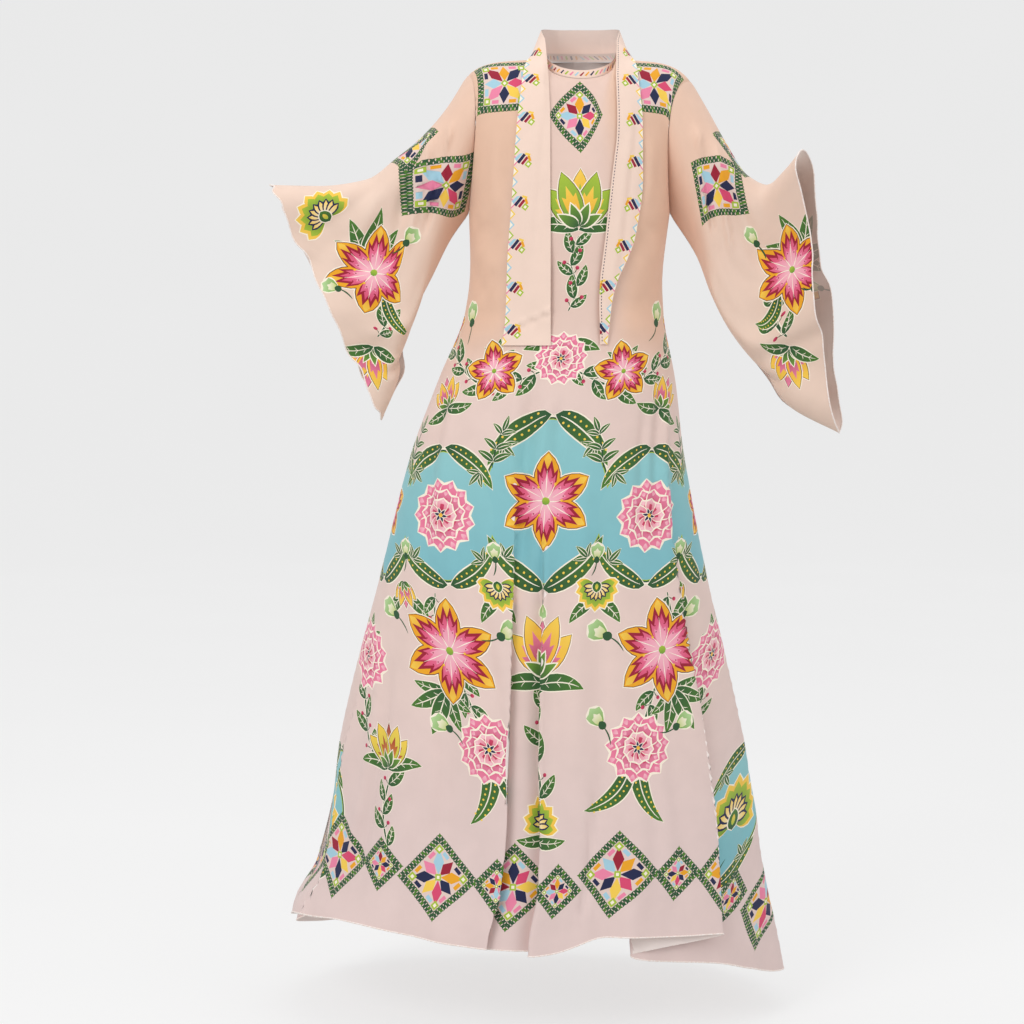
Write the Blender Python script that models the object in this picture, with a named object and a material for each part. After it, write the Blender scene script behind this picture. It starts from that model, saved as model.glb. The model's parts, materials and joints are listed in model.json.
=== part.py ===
"""Maxi dress with bell sleeves and a narrow neck scarf, hollow, in the pose in which it is worn.

Metres, +Z up, front towards -Y, the wearer's left towards +X. The origin is the middle of the neck at
the height where neck and shoulder meet. "left" and "right" in names are -X and +X.
Every piece is one cloth wall on a grid of points: columns go round the body and rows go up.
"""

import math
from collections import namedtuple

import bpy
import numpy as np

# Cloth
WALL = 0.0016
SEAM = 0.0003  # kept between two pieces at a seam
SAME_PLACE = 1e-6  # points nearer than this belong to the same place on a seam

# Bodice
UNDERARM = -0.249  # height at which the armholes begin
WAIST = -0.40
NECK_ANGLE = 18.0  # the columns within this angle of centre front or back end on the neckline
NECK_HALF, NECK_FRONT, NECK_BACK = 0.060, 0.070, 0.058
NECK_Y = 0.002
NECK_DROP, NECK_RISE = 0.036, 0.006
ARMHOLE_FORWARD, ARMHOLE_BACKWARD = 0.062, 0.058
BULGE_BLEND, NIP_BLEND = 4, 2  # how close to the armhole its bulge and its nip keep
SHOULDER_SLOPE, SHOULDER_ROUND = 0.15, 5  # the drop along the shoulder seam: even share, then rounding
CHEST_CURVE, SHOULDER_CURVE = 1.8, 0.6
BACK_CURVE, BLADE_CURVE = 2.6, 0.5
SLIT_LENGTH, SLIT_HALF = 0.11, 0.0009
SLIT_EASE = 0.25  # the share of its length over which the slit opens

# Grids
SKIRT_ROWS, UPPER_ROWS = 20, 10
SIDE_COLUMNS = 13  # from neckline to side seam, as many in front as behind
NECK_COLUMNS_FRONT, NECK_COLUMNS_BACK = 10, 4
SLEEVE_ROWS = 12
FOLD_REACH = 1.6  # how far to each side a fold draws columns together, in fold widths
STEP_PULL = 150  # how strongly a step draws columns together beside a lean of one degree
SHARP_EDGE = 50  # degrees; walls meet their rims in a sharp edge

# Sleeves
SLEEVE_EASE = 0.4  # the share of its length over which a sleeve leaves the armhole's own shape
ARM_FILL = 3.2  # how far down from the top the arm fills a sleeve, in its own half depths
SEAM_ROUND = 2.0  # how far up from the underarm seam a sleeve is rounded, in its half depths there

# Neckband, scarf and button
BAND_HEIGHT, BAND_LEAN = 0.013, 0.0025
SCARF_COLUMNS, SCARF_BACK_ROWS, SCARF_HANG_ROWS = 4, 5, 13
SCARF_NECK_SHARES = (0.0, 0.5, 1.0)  # rows from the split of the scarf to the end of its neck turn
SCARF_DOWN_SHARES = (0.25, 0.5, 0.75)  # rows from there to the top of the hanging end
SCARF_PROUD = 0.0032  # from the middle of the front's wall to the middle of the scarf's
BUTTON_RADIUS, BUTTON_HEIGHT, BUTTON_RIM, BUTTON_SIDES = 0.0055, 0.0024, 0.0008, 20

BLUSH = (0.83, 0.63, 0.55, 1.0)
PEARL = (0.88, 0.80, 0.72, 1.0)

# The tube of bodice and skirt: its middle, half width and depths at each height, and how square it is.
Section = namedtuple("Section", "height middle half front back power")
TRUNK = (
    Section(-1.52, -0.084, 0.418, 0.290, 0.310, 2.0),
    Section(-1.40, -0.084, 0.394, 0.272, 0.290, 2.0),
    Section(-1.32, -0.070, 0.362, 0.258, 0.272, 2.0),
    Section(-1.22, -0.066, 0.345, 0.244, 0.252, 2.0),
    Section(-1.12, -0.068, 0.331, 0.231, 0.238, 2.0),
    Section(-1.04, -0.067, 0.315, 0.218, 0.224, 2.0),
    Section(-0.85, -0.062, 0.270, 0.186, 0.194, 2.05),
    Section(-0.65, -0.054, 0.227, 0.156, 0.166, 2.15),
    Section(-0.52, -0.038, 0.195, 0.138, 0.146, 2.25),
    Section(-0.41, -0.026, 0.163, 0.122, 0.108, 2.35),
    Section(-0.35, -0.023, 0.158, 0.122, 0.100, 2.4),
    Section(-0.249, -0.018, 0.1645, 0.124, 0.098, 2.4),
)

# Skirt folds, by the angle round the body at which they lie. lean pushes the cloth sideways over
# itself, step sets one side of the line over the other, and crest lifts the line itself.
Fold = namedtuple("Fold", "name top hem width lean step crest start full")
FOLDS = (
    Fold("beside the centre", -8.0, -12.4, 2.3, 4.8, 0.012, 0.000, -0.58, -1.15),
    Fold("centre", -0.5, 0.2, 2.3, 2.4, -0.011, 0.000, -0.50, -1.10),
    Fold("wide overlap", 64.0, 36.5, 5.0, 17.0, 0.019, 0.000, -0.50, -1.42),
    Fold("left edge", -74.0, -67.0, 3.6, 6.5, -0.012, 0.000, -0.85, -1.25),
    Fold("left of front", -44.0, -42.0, 7.0, 0.0, 0.000, 0.012, -0.60, -1.30),
    Fold("left hollow", -28.0, -26.0, 5.0, 0.0, 0.000, -0.008, -0.60, -1.30),
    Fold("short crease", 16.0, 17.0, 2.6, 0.0, 0.000, -0.006, -1.05, -1.25),
    Fold("right of front", 28.0, 22.0, 5.0, 0.0, 0.000, 0.007, -0.70, -1.30),
    Fold("right side", 92.0, 84.0, 6.0, 0.0, 0.006, 0.012, -0.60, -1.30),
    Fold("right back", 112.0, 108.0, 5.0, 6.0, -0.012, 0.004, -0.55, -1.25),
    Fold("right of back", 132.0, 132.0, 6.0, 0.0, 0.000, 0.020, -0.50, -1.20),
    Fold("centre back", 156.0, 156.0, 4.5, 5.5, 0.013, 0.000, -0.50, -1.20),
    Fold("back hollow", 178.0, 178.0, 6.0, 0.0, 0.000, -0.012, -0.55, -1.20),
    Fold("left of back", -156.0, -154.0, 4.5, 5.5, -0.013, 0.006, -0.50, -1.20),
    Fold("left back", -130.0, -131.0, 6.0, 0.0, 0.000, 0.020, -0.50, -1.20),
    Fold("left side", -106.0, -108.0, 5.0, 4.0, 0.011, 0.006, -0.60, -1.25),
)

# Height of the hem round the body: lifted at the front left, trailing at the back.
Hem = namedtuple("Hem", "angle height")
HEM = (
    Hem(-180, -1.482),
    Hem(-135, -1.478),
    Hem(-105, -1.440),
    Hem(-84, -1.405),
    Hem(-66, -1.392),
    Hem(-45, -1.382),
    Hem(-22, -1.400),
    Hem(-6, -1.408),
    Hem(3, -1.414),
    Hem(18, -1.390),
    Hem(33, -1.402),
    Hem(44, -1.436),
    Hem(60, -1.470),
    Hem(78, -1.494),
    Hem(95, -1.500),
    Hem(135, -1.490),
    Hem(180, -1.482),
)

# Shoulder ends and how far each armhole is nipped in between shoulder and underarm.
Shoulder = namedtuple("Shoulder", "x y z nip")
SHOULDERS = {-1: Shoulder(-0.186, 0.004, -0.024, 0.012), 1: Shoulder(0.182, 0.004, -0.033, 0.012)}

# Sleeve sections from armhole to opening: the line along the top of the arm, the line along the
# underarm seam, the half depths round the arm and below it, and how far the section is turned.
Cut = namedtuple("Cut", "along top_x top_y top_z under_x under_y under_z arm low turn")
SLEEVES = {
    -1: (
        Cut(0.00, -0.186, 0.004, -0.024, -0.1825, 0.000, -0.249, 0.062, 0.060, 0),
        Cut(0.15, -0.218, 0.002, -0.075, -0.212, -0.002, -0.291, 0.060, 0.050, 0),
        Cut(0.30, -0.257, -0.002, -0.121, -0.238, -0.005, -0.343, 0.057, 0.042, 0),
        Cut(0.45, -0.302, -0.006, -0.159, -0.263, -0.009, -0.393, 0.053, 0.036, 0),
        Cut(0.60, -0.351, -0.012, -0.194, -0.281, -0.014, -0.447, 0.048, 0.032, 0),
        Cut(0.80, -0.429, -0.022, -0.205, -0.298, -0.022, -0.520, 0.044, 0.028, 0),
        Cut(1.00, -0.509, -0.032, -0.204, -0.327, -0.030, -0.590, 0.042, 0.026, 0),
    ),
    1: (
        Cut(0.00, 0.182, 0.004, -0.033, 0.1465, 0.000, -0.249, 0.062, 0.060, 0),
        Cut(0.15, 0.212, 0.000, -0.085, 0.191, -0.004, -0.319, 0.060, 0.050, 4),
        Cut(0.30, 0.241, -0.008, -0.138, 0.216, -0.010, -0.384, 0.057, 0.042, 8),
        Cut(0.45, 0.273, -0.018, -0.187, 0.249, -0.017, -0.445, 0.053, 0.036, 13),
        Cut(0.60, 0.304, -0.036, -0.204, 0.291, -0.027, -0.499, 0.048, 0.032, 18),
        Cut(0.80, 0.330, -0.083, -0.183, 0.350, -0.050, -0.569, 0.044, 0.028, 24),
        Cut(1.00, 0.351, -0.130, -0.155, 0.425, -0.078, -0.610, 0.042, 0.026, 28),
    ),
}

# Sleeve creases: from a place between top (0) and underarm (1) at the armhole to one at the opening.
Crease = namedtuple("Crease", "name start end width front back begins")
CREASES = (
    Crease("from the elbow", 0.45, 0.26, 0.07, -0.012, -0.009, 0.25),
    Crease("below the elbow", 0.66, 0.52, 0.08, 0.010, 0.011, 0.30),
    Crease("above the tip", 0.90, 0.78, 0.07, -0.010, -0.012, 0.45),
)

# The scarf round the neck, from centre back to where it comes to lie on the chest: the edge next to
# the neck and the free edge. The left half is the same with x changed in sign.
Turn = namedtuple("Turn", "name inner_x inner_y inner_z outer_x outer_y outer_z")
NECK_TURNS = (
    Turn("centre back", 0.000, 0.071, 0.060, 0.000, 0.084, 0.014),
    Turn("behind", 0.030, 0.065, 0.059, 0.036, 0.077, 0.013),
    Turn("beside", 0.053, 0.043, 0.057, 0.066, 0.049, 0.010),
    Turn("over the shoulder", 0.064, 0.008, 0.051, 0.082, 0.010, 0.006),
    Turn("down the neck", 0.058, -0.030, 0.030, 0.085, -0.036, -0.001),
)
SCARF_SPLIT = 3  # the turn at which the back stretch meets the ends

# The hanging ends: the x of both edges at each height.
Hang = namedtuple("Hang", "height inner outer")
HANGS = {
    -1: (
        Hang(-0.035, -0.055, -0.094),
        Hang(-0.110, -0.052, -0.103),
        Hang(-0.200, -0.051, -0.109),
        Hang(-0.320, -0.050, -0.117),
        Hang(-0.430, -0.050, -0.122),
        Hang(-0.466, -0.050, -0.128),
    ),
    1: (
        Hang(-0.035, 0.054, 0.090),
        Hang(-0.110, 0.055, 0.096),
        Hang(-0.200, 0.046, 0.096),
        Hang(-0.290, 0.036, 0.083),
        Hang(-0.390, 0.026, 0.047),
        Hang(-0.464, 0.028, 0.040),
    ),
}


def through(xs, ys, at):
    """A smooth curve through the points (xs, ys) that doesn't overshoot between them."""
    xs, ys, at = np.asarray(xs, float), np.asarray(ys, float), np.asarray(at, float)
    steps = np.diff(ys) / np.diff(xs)
    slopes = np.concatenate([steps[:1], np.zeros(len(xs) - 2), steps[-1:]])
    same = steps[:-1] * steps[1:] > 0
    total = np.where(same, steps[:-1] + steps[1:], 1.0)
    slopes[1:-1] = np.where(same, 2 * steps[:-1] * steps[1:] / total, 0.0)
    i = np.clip(np.searchsorted(xs, at) - 1, 0, len(xs) - 2)
    length = xs[i + 1] - xs[i]
    t = np.clip((at - xs[i]) / length, 0, 1)
    near = (1 + 2 * t) * (1 - t) ** 2 * ys[i] + t * (1 - t) ** 2 * length * slopes[i]
    far = t * t * (3 - 2 * t) * ys[i + 1] - t * t * (1 - t) * length * slopes[i + 1]
    return near + far


def column(table, name):
    """One named column of a table."""
    return [getattr(row, name) for row in table]


def ease(t):
    """0 to 1, flat at both ends."""
    t = np.clip(t, 0, 1)
    return t * t * (3 - 2 * t)


def rounding(t):
    """0 to 1 as a quarter circle rises, and 1 from there."""
    return np.sqrt(1 - (1 - np.clip(t, 0, 1)) ** 2)


def signed_power(base, power):
    return np.sign(base) * np.abs(base) ** power


def unit(vectors):
    lengths = np.linalg.norm(vectors, axis=-1, keepdims=True)
    return vectors / np.maximum(lengths, 1e-12)


def points_of(x, y, z):
    return np.stack(np.broadcast_arrays(x, y, z), axis=-1)


def trunk(angle, height):
    """The plain tube at an angle (degrees, 0 in front, 90 at +X) and a height, and its outward way."""
    heights = column(TRUNK, "height")
    middle, half, front, back, power = (
        through(heights, column(TRUNK, name), height) for name in Section._fields[1:]
    )
    across, forward = np.sin(np.radians(angle)), np.cos(np.radians(angle))
    depth = np.where(forward >= 0, front, back)
    x = middle + half * signed_power(across, 2 / power)
    y = -depth * signed_power(forward, 2 / power)
    outward = unit(points_of(across / half, -forward / depth, 0 * height))
    return points_of(x, y, height), outward


def folded(angle, height):
    """The tube with its folds."""
    angle, height = np.broadcast_arrays(np.asarray(angle, float), height)
    fall = np.clip((WAIST - height) / (WAIST - TRUNK[1].height), 0, 1)
    moved, lift = angle.copy(), np.zeros_like(angle)
    for fold in FOLDS:
        line = fold.top + (fold.hem - fold.top) * fall
        t = ((angle - line + 180) % 360 - 180) / fold.width
        grown = ease((fold.start - height) / (fold.start - fold.full))
        bend = t * np.exp((1 - t * t) / 2)
        moved = moved - fold.lean * grown * bend
        lift = lift + grown * (fold.crest * np.exp(-t * t / 2) - fold.step * bend)
    point, outward = trunk(moved, height)
    return point + outward * lift[..., None]


def top_edge(across, front):
    """Neckline and shoulder seams: where the column at this angle from centre front or back ends."""
    side, away = np.sign(across), np.abs(across)
    round_neck = np.radians(90 * np.clip(away / NECK_ANGLE, 0, 1))
    sine, cosine = np.sin(round_neck), np.cos(round_neck)
    neck_depth = -NECK_FRONT if front else NECK_BACK
    neck_height = -NECK_DROP if front else NECK_RISE
    neck = points_of(side * NECK_HALF * sine, NECK_Y + neck_depth * cosine, neck_height * cosine)
    t = np.clip((away - NECK_ANGLE) / (90 - NECK_ANGLE), 0, 1)
    ends = np.where(side[..., None] < 0, SHOULDERS[-1][:3], SHOULDERS[1][:3])
    start = points_of(side * NECK_HALF, NECK_Y, 0.0)
    droop = SHOULDER_SLOPE * t + (1 - SHOULDER_SLOPE) * t**SHOULDER_ROUND
    mix = points_of(t, t, droop)
    shoulder = start + (ends - start) * mix
    return np.where((away <= NECK_ANGLE)[..., None], neck, shoulder)


def upper(across, rise, front):
    """Above the underarm: from the tube (rise 0) to the neckline and shoulder seams (rise 1)."""
    across, rise = np.broadcast_arrays(np.asarray(across, float), rise)
    side, away = np.sign(across), np.abs(across)
    angle = across if front else side * (180 - away)
    angle = np.where(side == 0, 0 if front else 180, angle)
    base = folded(angle, UNDERARM)
    top = top_edge(across, front)
    turn = rise * math.pi / 2
    shoulder = ease(away / NECK_ANGLE)
    hollow = np.sin(np.pi * rise)
    bulge = (-ARMHOLE_FORWARD if front else ARMHOLE_BACKWARD) * (away / 90) ** BULGE_BLEND * hollow
    deepest = np.where(side < 0, SHOULDERS[-1].nip, SHOULDERS[1].nip)
    nip = deepest * (away / 90) ** NIP_BLEND * hollow
    climb = (1 - shoulder) * rise + shoulder * np.sin(turn)
    body, edge = (CHEST_CURVE, SHOULDER_CURVE) if front else (BACK_CURVE, BLADE_CURVE)
    rounded = np.cos(np.minimum(turn, math.pi / 2)).clip(0) ** edge
    fade = (1 - shoulder) * (1 - rise**body) + shoulder * rounded
    x = base[..., 0] + (top[..., 0] - base[..., 0]) * rise**2 - side * nip
    y = top[..., 1] + (base[..., 1] - top[..., 1]) * fade + bulge
    z = base[..., 2] + (top[..., 2] - base[..., 2]) * climb
    return points_of(x, y, z)


def spread(start, end, count):
    """Angles from start to end, closer together where folds bend the cloth sharply."""
    fine = np.linspace(start, end, 2001)
    weight = np.ones_like(fine)
    for fold in FOLDS:
        sharp = (fold.lean + STEP_PULL * abs(fold.step)) / fold.width
        away = (fine - fold.hem + 180) % 360 - 180
        weight += sharp * np.exp(-((away / (FOLD_REACH * fold.width)) ** 2) / 2)
    total = np.concatenate([[0], np.cumsum((weight[1:] + weight[:-1]) / 2)])
    return np.interp(np.linspace(0, total[-1], count + 1), total, fine)


def panel(runs, front):
    """A grid of points from hem to neckline and shoulder, for runs of columns (start, end, count)."""
    angles = joined([spread(*run) for run in runs])[:, None]
    hem = through(column(HEM, "angle"), column(HEM, "height"), angles)
    heights = hem + (UNDERARM - hem) * np.linspace(0, 1, SKIRT_ROWS + 1)
    skirt = folded(angles, heights)
    # The columns end evenly spaced, so that front and back have the same points on the shoulder seam.
    even = joined([np.linspace(start, end, count + 1) for start, end, count in runs])[:, None]
    rises = np.linspace(0, 1, UPPER_ROWS + 1)[None, 1:]
    turned = angles + (even - angles) * ease(rises)
    across = turned if front else np.sign(turned) * (180 - np.abs(turned))
    # The middle column of a back half belongs to its own side, though it lies at angle 0.
    across = np.where(np.abs(across) < 1e-9, np.sign(angles.mean()) * 1e-9, across)
    return np.concatenate([skirt, upper(across, rises, front)], axis=1)


def joined(runs):
    """Runs of angles in a row, each starting where the last one ended."""
    return np.concatenate([runs[0]] + [run[1:] for run in runs[1:]])


def sleeve(side, ring):
    """A grid of points from the armhole ring to the opening, the ring starting at the underarm."""
    count = len(ring)
    cuts = SLEEVES[side]
    along = np.linspace(0, 1, SLEEVE_ROWS + 1)
    cut = {name: through(column(cuts, "along"), column(cuts, name), along) for name in Cut._fields}
    tops = points_of(cut["top_x"], cut["top_y"], cut["top_z"])
    unders = points_of(cut["under_x"], cut["under_y"], cut["under_z"])
    turn = np.radians(cut["turn"]) * side
    depth_way = points_of(np.sin(turn), np.cos(turn), 0 * turn)
    top, under = ring[count // 2], ring[0]
    tops[0], unders[0] = top, under
    down = under - top
    down_0 = (ring - top) @ down / (down @ down)
    depth_0 = ring[:, 1] - (top + down_0[:, None] * down)[:, 1]
    rest = ring - (top + down_0[:, None] * down + depth_0[:, None] * np.array([0, 1, 0]))
    steps = np.arange(count) / count
    down_1 = (1 + np.cos(2 * np.pi * steps)) / 2
    face = np.where(steps <= 0.5, -1.0, 1.0)  # -1 on the front layer
    grid = []
    for i, share in enumerate(along):
        left = 1 - ease(share / SLEEVE_EASE)
        drop = down_1 + (down_0 - down_1) * left
        reach = np.linalg.norm(unders[i] - tops[i])
        arm, low = cut["arm"][i], cut["low"][i]
        body = low + (arm - low) * (1 - ease(down_1 * reach / (ARM_FILL * arm)))
        from_top, from_seam = down_1 * reach / arm, (1 - down_1) * reach / (SEAM_ROUND * low)
        depth = face * body * rounding(from_top) * rounding(from_seam)
        for crease in CREASES:
            line = crease.start + (crease.end - crease.start) * share
            grown = ease((share - crease.begins) / (1 - crease.begins))
            lift = np.where(face < 0, crease.front, crease.back) * face
            depth = depth + lift * grown * np.exp(-(((down_1 - line) / crease.width) ** 2) / 2)
        depth = depth + (depth_0 - depth) * left
        middle = tops[i] + drop[:, None] * (unders[i] - tops[i])
        grid.append(middle + depth[:, None] * depth_way[i] + rest * left)
    return np.stack(grid, axis=1)


def on_front(x, z):
    """The point of the front at this x and z, above the skirt's folds."""
    x, z = float(x), float(z)
    if z <= UNDERARM:
        heights = column(TRUNK, "height")
        middle, half, power = (
            float(through(heights, column(TRUNK, name), z)) for name in ("middle", "half", "power")
        )
        sine = signed_power((x - middle) / half, power / 2)
        return folded(math.degrees(math.asin(sine)), z)
    sample = np.linspace(-89, 89, 179)
    rises = np.linspace(0, 1, 101)
    across, rise = 0.0, 0.5
    for _ in range(12):
        across = float(np.interp(x, upper(sample, rise, True)[:, 0], sample))
        rise = float(np.interp(z, upper(across, rises, True)[:, 2], rises))
    return upper(across, rise, True)


def above_front(x, z, proud):
    """The point of the front at this x and z, moved out along its normal."""
    step = 0.003
    across = on_front(x + step, z) - on_front(x - step, z)
    up = on_front(x, z + step) - on_front(x, z - step)
    return on_front(x, z) + proud * unit(np.cross(across, up))


def clear_of_front(points):
    """Moves points that would touch the front out to where the scarf lies on it."""
    sample = upper(np.linspace(-85, 85, 121)[:, None], np.linspace(0, 1, 61)[None, :], True)
    outward = normals_of(sample).reshape(-1, 3)
    sample = sample.reshape(-1, 3)
    moved = []
    for point in points.reshape(-1, 3):
        nearest = np.argmin(((sample - point) ** 2).sum(axis=1))
        proud = (point - sample[nearest]) @ outward[nearest]
        moved.append(point + outward[nearest] * max(SCARF_PROUD - proud, 0))
    return np.array(moved).reshape(points.shape)


def neck_turn(side, shares):
    """Rows of the scarf round the neck, at these places along the turns."""
    places = range(len(NECK_TURNS))
    rows = []
    for share in shares:
        at = [float(through(places, column(NECK_TURNS, name), share)) for name in Turn._fields[1:]]
        inner, outer = np.array(at[:3]), np.array(at[3:])
        rows.append([inner + (outer - inner) * t for t in np.linspace(0, 1, SCARF_COLUMNS + 1)])
    return np.array(rows) * np.array([side, 1, 1])


def scarf_end(side):
    """The stretch of the scarf from the shoulder down the chest, as a grid from inner to outer edge."""
    last = len(NECK_TURNS) - 1
    neck = neck_turn(side, [SCARF_SPLIT + (last - SCARF_SPLIT) * t for t in SCARF_NECK_SHARES])
    hangs = HANGS[side][::-1]
    heights = column(hangs, "height")
    rows = []
    for height in np.linspace(heights[-1], heights[0], SCARF_HANG_ROWS + 1):
        inner, outer = (float(through(heights, column(hangs, n), height)) for n in ("inner", "outer"))
        across = np.linspace(inner, outer, SCARF_COLUMNS + 1)
        rows.append([above_front(x, height, SCARF_PROUD) for x in across])
    rows = np.array(rows)
    between = [neck[-1] + (rows[0] - neck[-1]) * t for t in SCARF_DOWN_SHARES]
    grid = clear_of_front(np.concatenate([neck, between, rows]))
    # Outward has to be across x along, so the columns run from -X to +X and the rows upwards.
    grid = grid[::-1].swapaxes(0, 1)
    return grid if side > 0 else grid[::-1]


def scarf_back():
    """The stretch of the scarf round the back of the neck, from +X round to -X."""
    shares = np.linspace(0, SCARF_SPLIT, SCARF_BACK_ROWS + 1)
    right = neck_turn(1, shares)[::-1]
    left = neck_turn(-1, shares)[1:]
    return np.concatenate([right, left])[:, ::-1]


def neckband(rows):
    """A band standing on the neckline points, from centre back round the front to centre back."""
    middle = rows.mean(axis=0)
    inward = unit((middle - rows) * np.array([1, 1, 0]))
    heights = np.array([0.0, 0.5, 1.0])
    lean = BAND_LEAN * heights**2
    lift = BAND_HEIGHT * heights
    return rows[:, None] + inward[:, None] * lean[:, None] + lift[:, None] * np.array([0, 0, 1])


def normals_of(grid, ring=False):
    """The outward direction at each point of a grid: across x along."""
    if ring:
        across = np.roll(grid, -1, axis=0) - np.roll(grid, 1, axis=0)
    else:
        across = np.gradient(grid, axis=0)
    return unit(np.cross(unit(across), unit(np.gradient(grid, axis=1))))


def share_normals(pieces):
    """Gives the points at which pieces meet one direction, so that their walls end face to face."""
    places = [(piece, index) for piece in pieces for index in edge_places(piece)]
    points = np.array([piece["grid"][index] for piece, index in places])
    ways = np.array([piece["ways"][index] for piece, index in places])
    for (piece, index), point in zip(places, points):
        here = ((points - point) ** 2).sum(axis=1) < SAME_PLACE**2
        piece["ways"][index] = unit(ways[here].sum(axis=0))


def edge_places(piece):
    """The places on the rim of a piece's grid."""
    across, along = piece["grid"].shape[:2]
    for i in range(across):
        for j in range(along):
            if j in (0, along - 1) or (not piece["ring"] and i in (0, across - 1)):
                yield i, j


def hold_back(piece):
    """Moves the rim that lies on a seam into the piece by half the seam's gap."""
    grid, ways = piece["grid"], piece["ways"]
    held = grid.copy()
    for edge in piece["seams"]:
        axis, at, inner = {
            "first": (0, 0, 1),
            "last": (0, -1, -2),
            "bottom": (1, 0, 1),
            "top": (1, -1, -2),
        }[edge]
        rim = np.take(grid, at, axis=axis)
        way = np.take(ways, at, axis=axis)
        if piece["ring"]:
            tangent = np.roll(rim, -1, axis=0) - np.roll(rim, 1, axis=0)
        else:
            tangent = np.gradient(rim, axis=0)
        move = unit(np.cross(tangent, way))
        towards = np.take(grid, inner, axis=axis) - rim
        move *= np.sign((move * towards).sum(axis=-1, keepdims=True))
        gap = piece["gaps"].get(edge, SEAM / 2)
        shift = move * np.asarray(gap).reshape(-1, 1)
        if axis == 0:
            held[at] += shift
        else:
            held[:, at] += shift
    piece["grid"] = held


def wall(piece):
    """A closed wall on a piece's grid: an outer and an inner layer joined round the rim."""
    grid, ways, ring = piece["grid"], piece["ways"], piece["ring"]
    across, along = grid.shape[:2]
    outer = (grid + ways * WALL / 2).reshape(-1, 3)
    inner = (grid - ways * WALL / 2).reshape(-1, 3)
    count = len(outer)
    faces = []

    def place(i, j):
        return (i % across) * along + j

    for i in range(across if ring else across - 1):
        for j in range(along - 1):
            a, b, c, d = place(i, j), place(i + 1, j), place(i + 1, j + 1), place(i, j + 1)
            flat = grid.reshape(-1, 3)
            if np.linalg.norm(flat[a] - flat[c]) <= np.linalg.norm(flat[b] - flat[d]):
                halves = [(a, b, c), (a, c, d)]
            else:
                halves = [(a, b, d), (b, c, d)]
            for half in halves:
                faces.append(half)
                faces.append(tuple(count + n for n in reversed(half)))
    rims = []
    for i in range(across if ring else across - 1):
        rims.append((place(i + 1, 0), place(i, 0)))
        rims.append((place(i, along - 1), place(i + 1, along - 1)))
    if not ring:
        for j in range(along - 1):
            rims.append((place(0, j), place(0, j + 1)))
            rims.append((place(across - 1, j + 1), place(across - 1, j)))
    for a, b in rims:
        # The shorter diagonal, so that the rims of two pieces at a seam bend along the same line.
        if np.linalg.norm(outer[a] - inner[b]) <= np.linalg.norm(outer[b] - inner[a]):
            faces += [(a, b, count + b), (a, count + b, count + a)]
        else:
            faces += [(a, b, count + a), (b, count + b, count + a)]
    return np.concatenate([outer, inner]), faces


def material(name, colour, roughness):
    made = bpy.data.materials.new(name)
    made.use_nodes = True
    shader = made.node_tree.nodes["Principled BSDF"]
    shader.inputs["Base Color"].default_value = colour
    shader.inputs["Roughness"].default_value = roughness
    shader.inputs["Metallic"].default_value = 0.0
    return made


def add_object(name, points, faces, finish):
    mesh = bpy.data.meshes.new(name)
    mesh.from_pydata([tuple(p) for p in points], [], faces)
    mesh.shade_smooth()
    mesh.set_sharp_from_angle(angle=math.radians(SHARP_EDGE))
    mesh.materials.append(finish)
    made = bpy.data.objects.new(name, mesh)
    bpy.context.scene.collection.objects.link(made)
    return made


def cloth_piece(grid, seams, ring=False, gaps=None):
    return {
        "grid": grid,
        "ways": normals_of(grid, ring),
        "seams": seams,
        "ring": ring,
        "gaps": gaps or {},
    }


def slit_gaps(rows_z):
    """Half the gap at centre back for each row: a seam, and above it the open neck slit."""
    opened = ease((rows_z - (NECK_RISE - SLIT_LENGTH)) / (SLIT_LENGTH * SLIT_EASE))
    return SEAM / 2 + (SLIT_HALF - SEAM / 2) * opened


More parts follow.
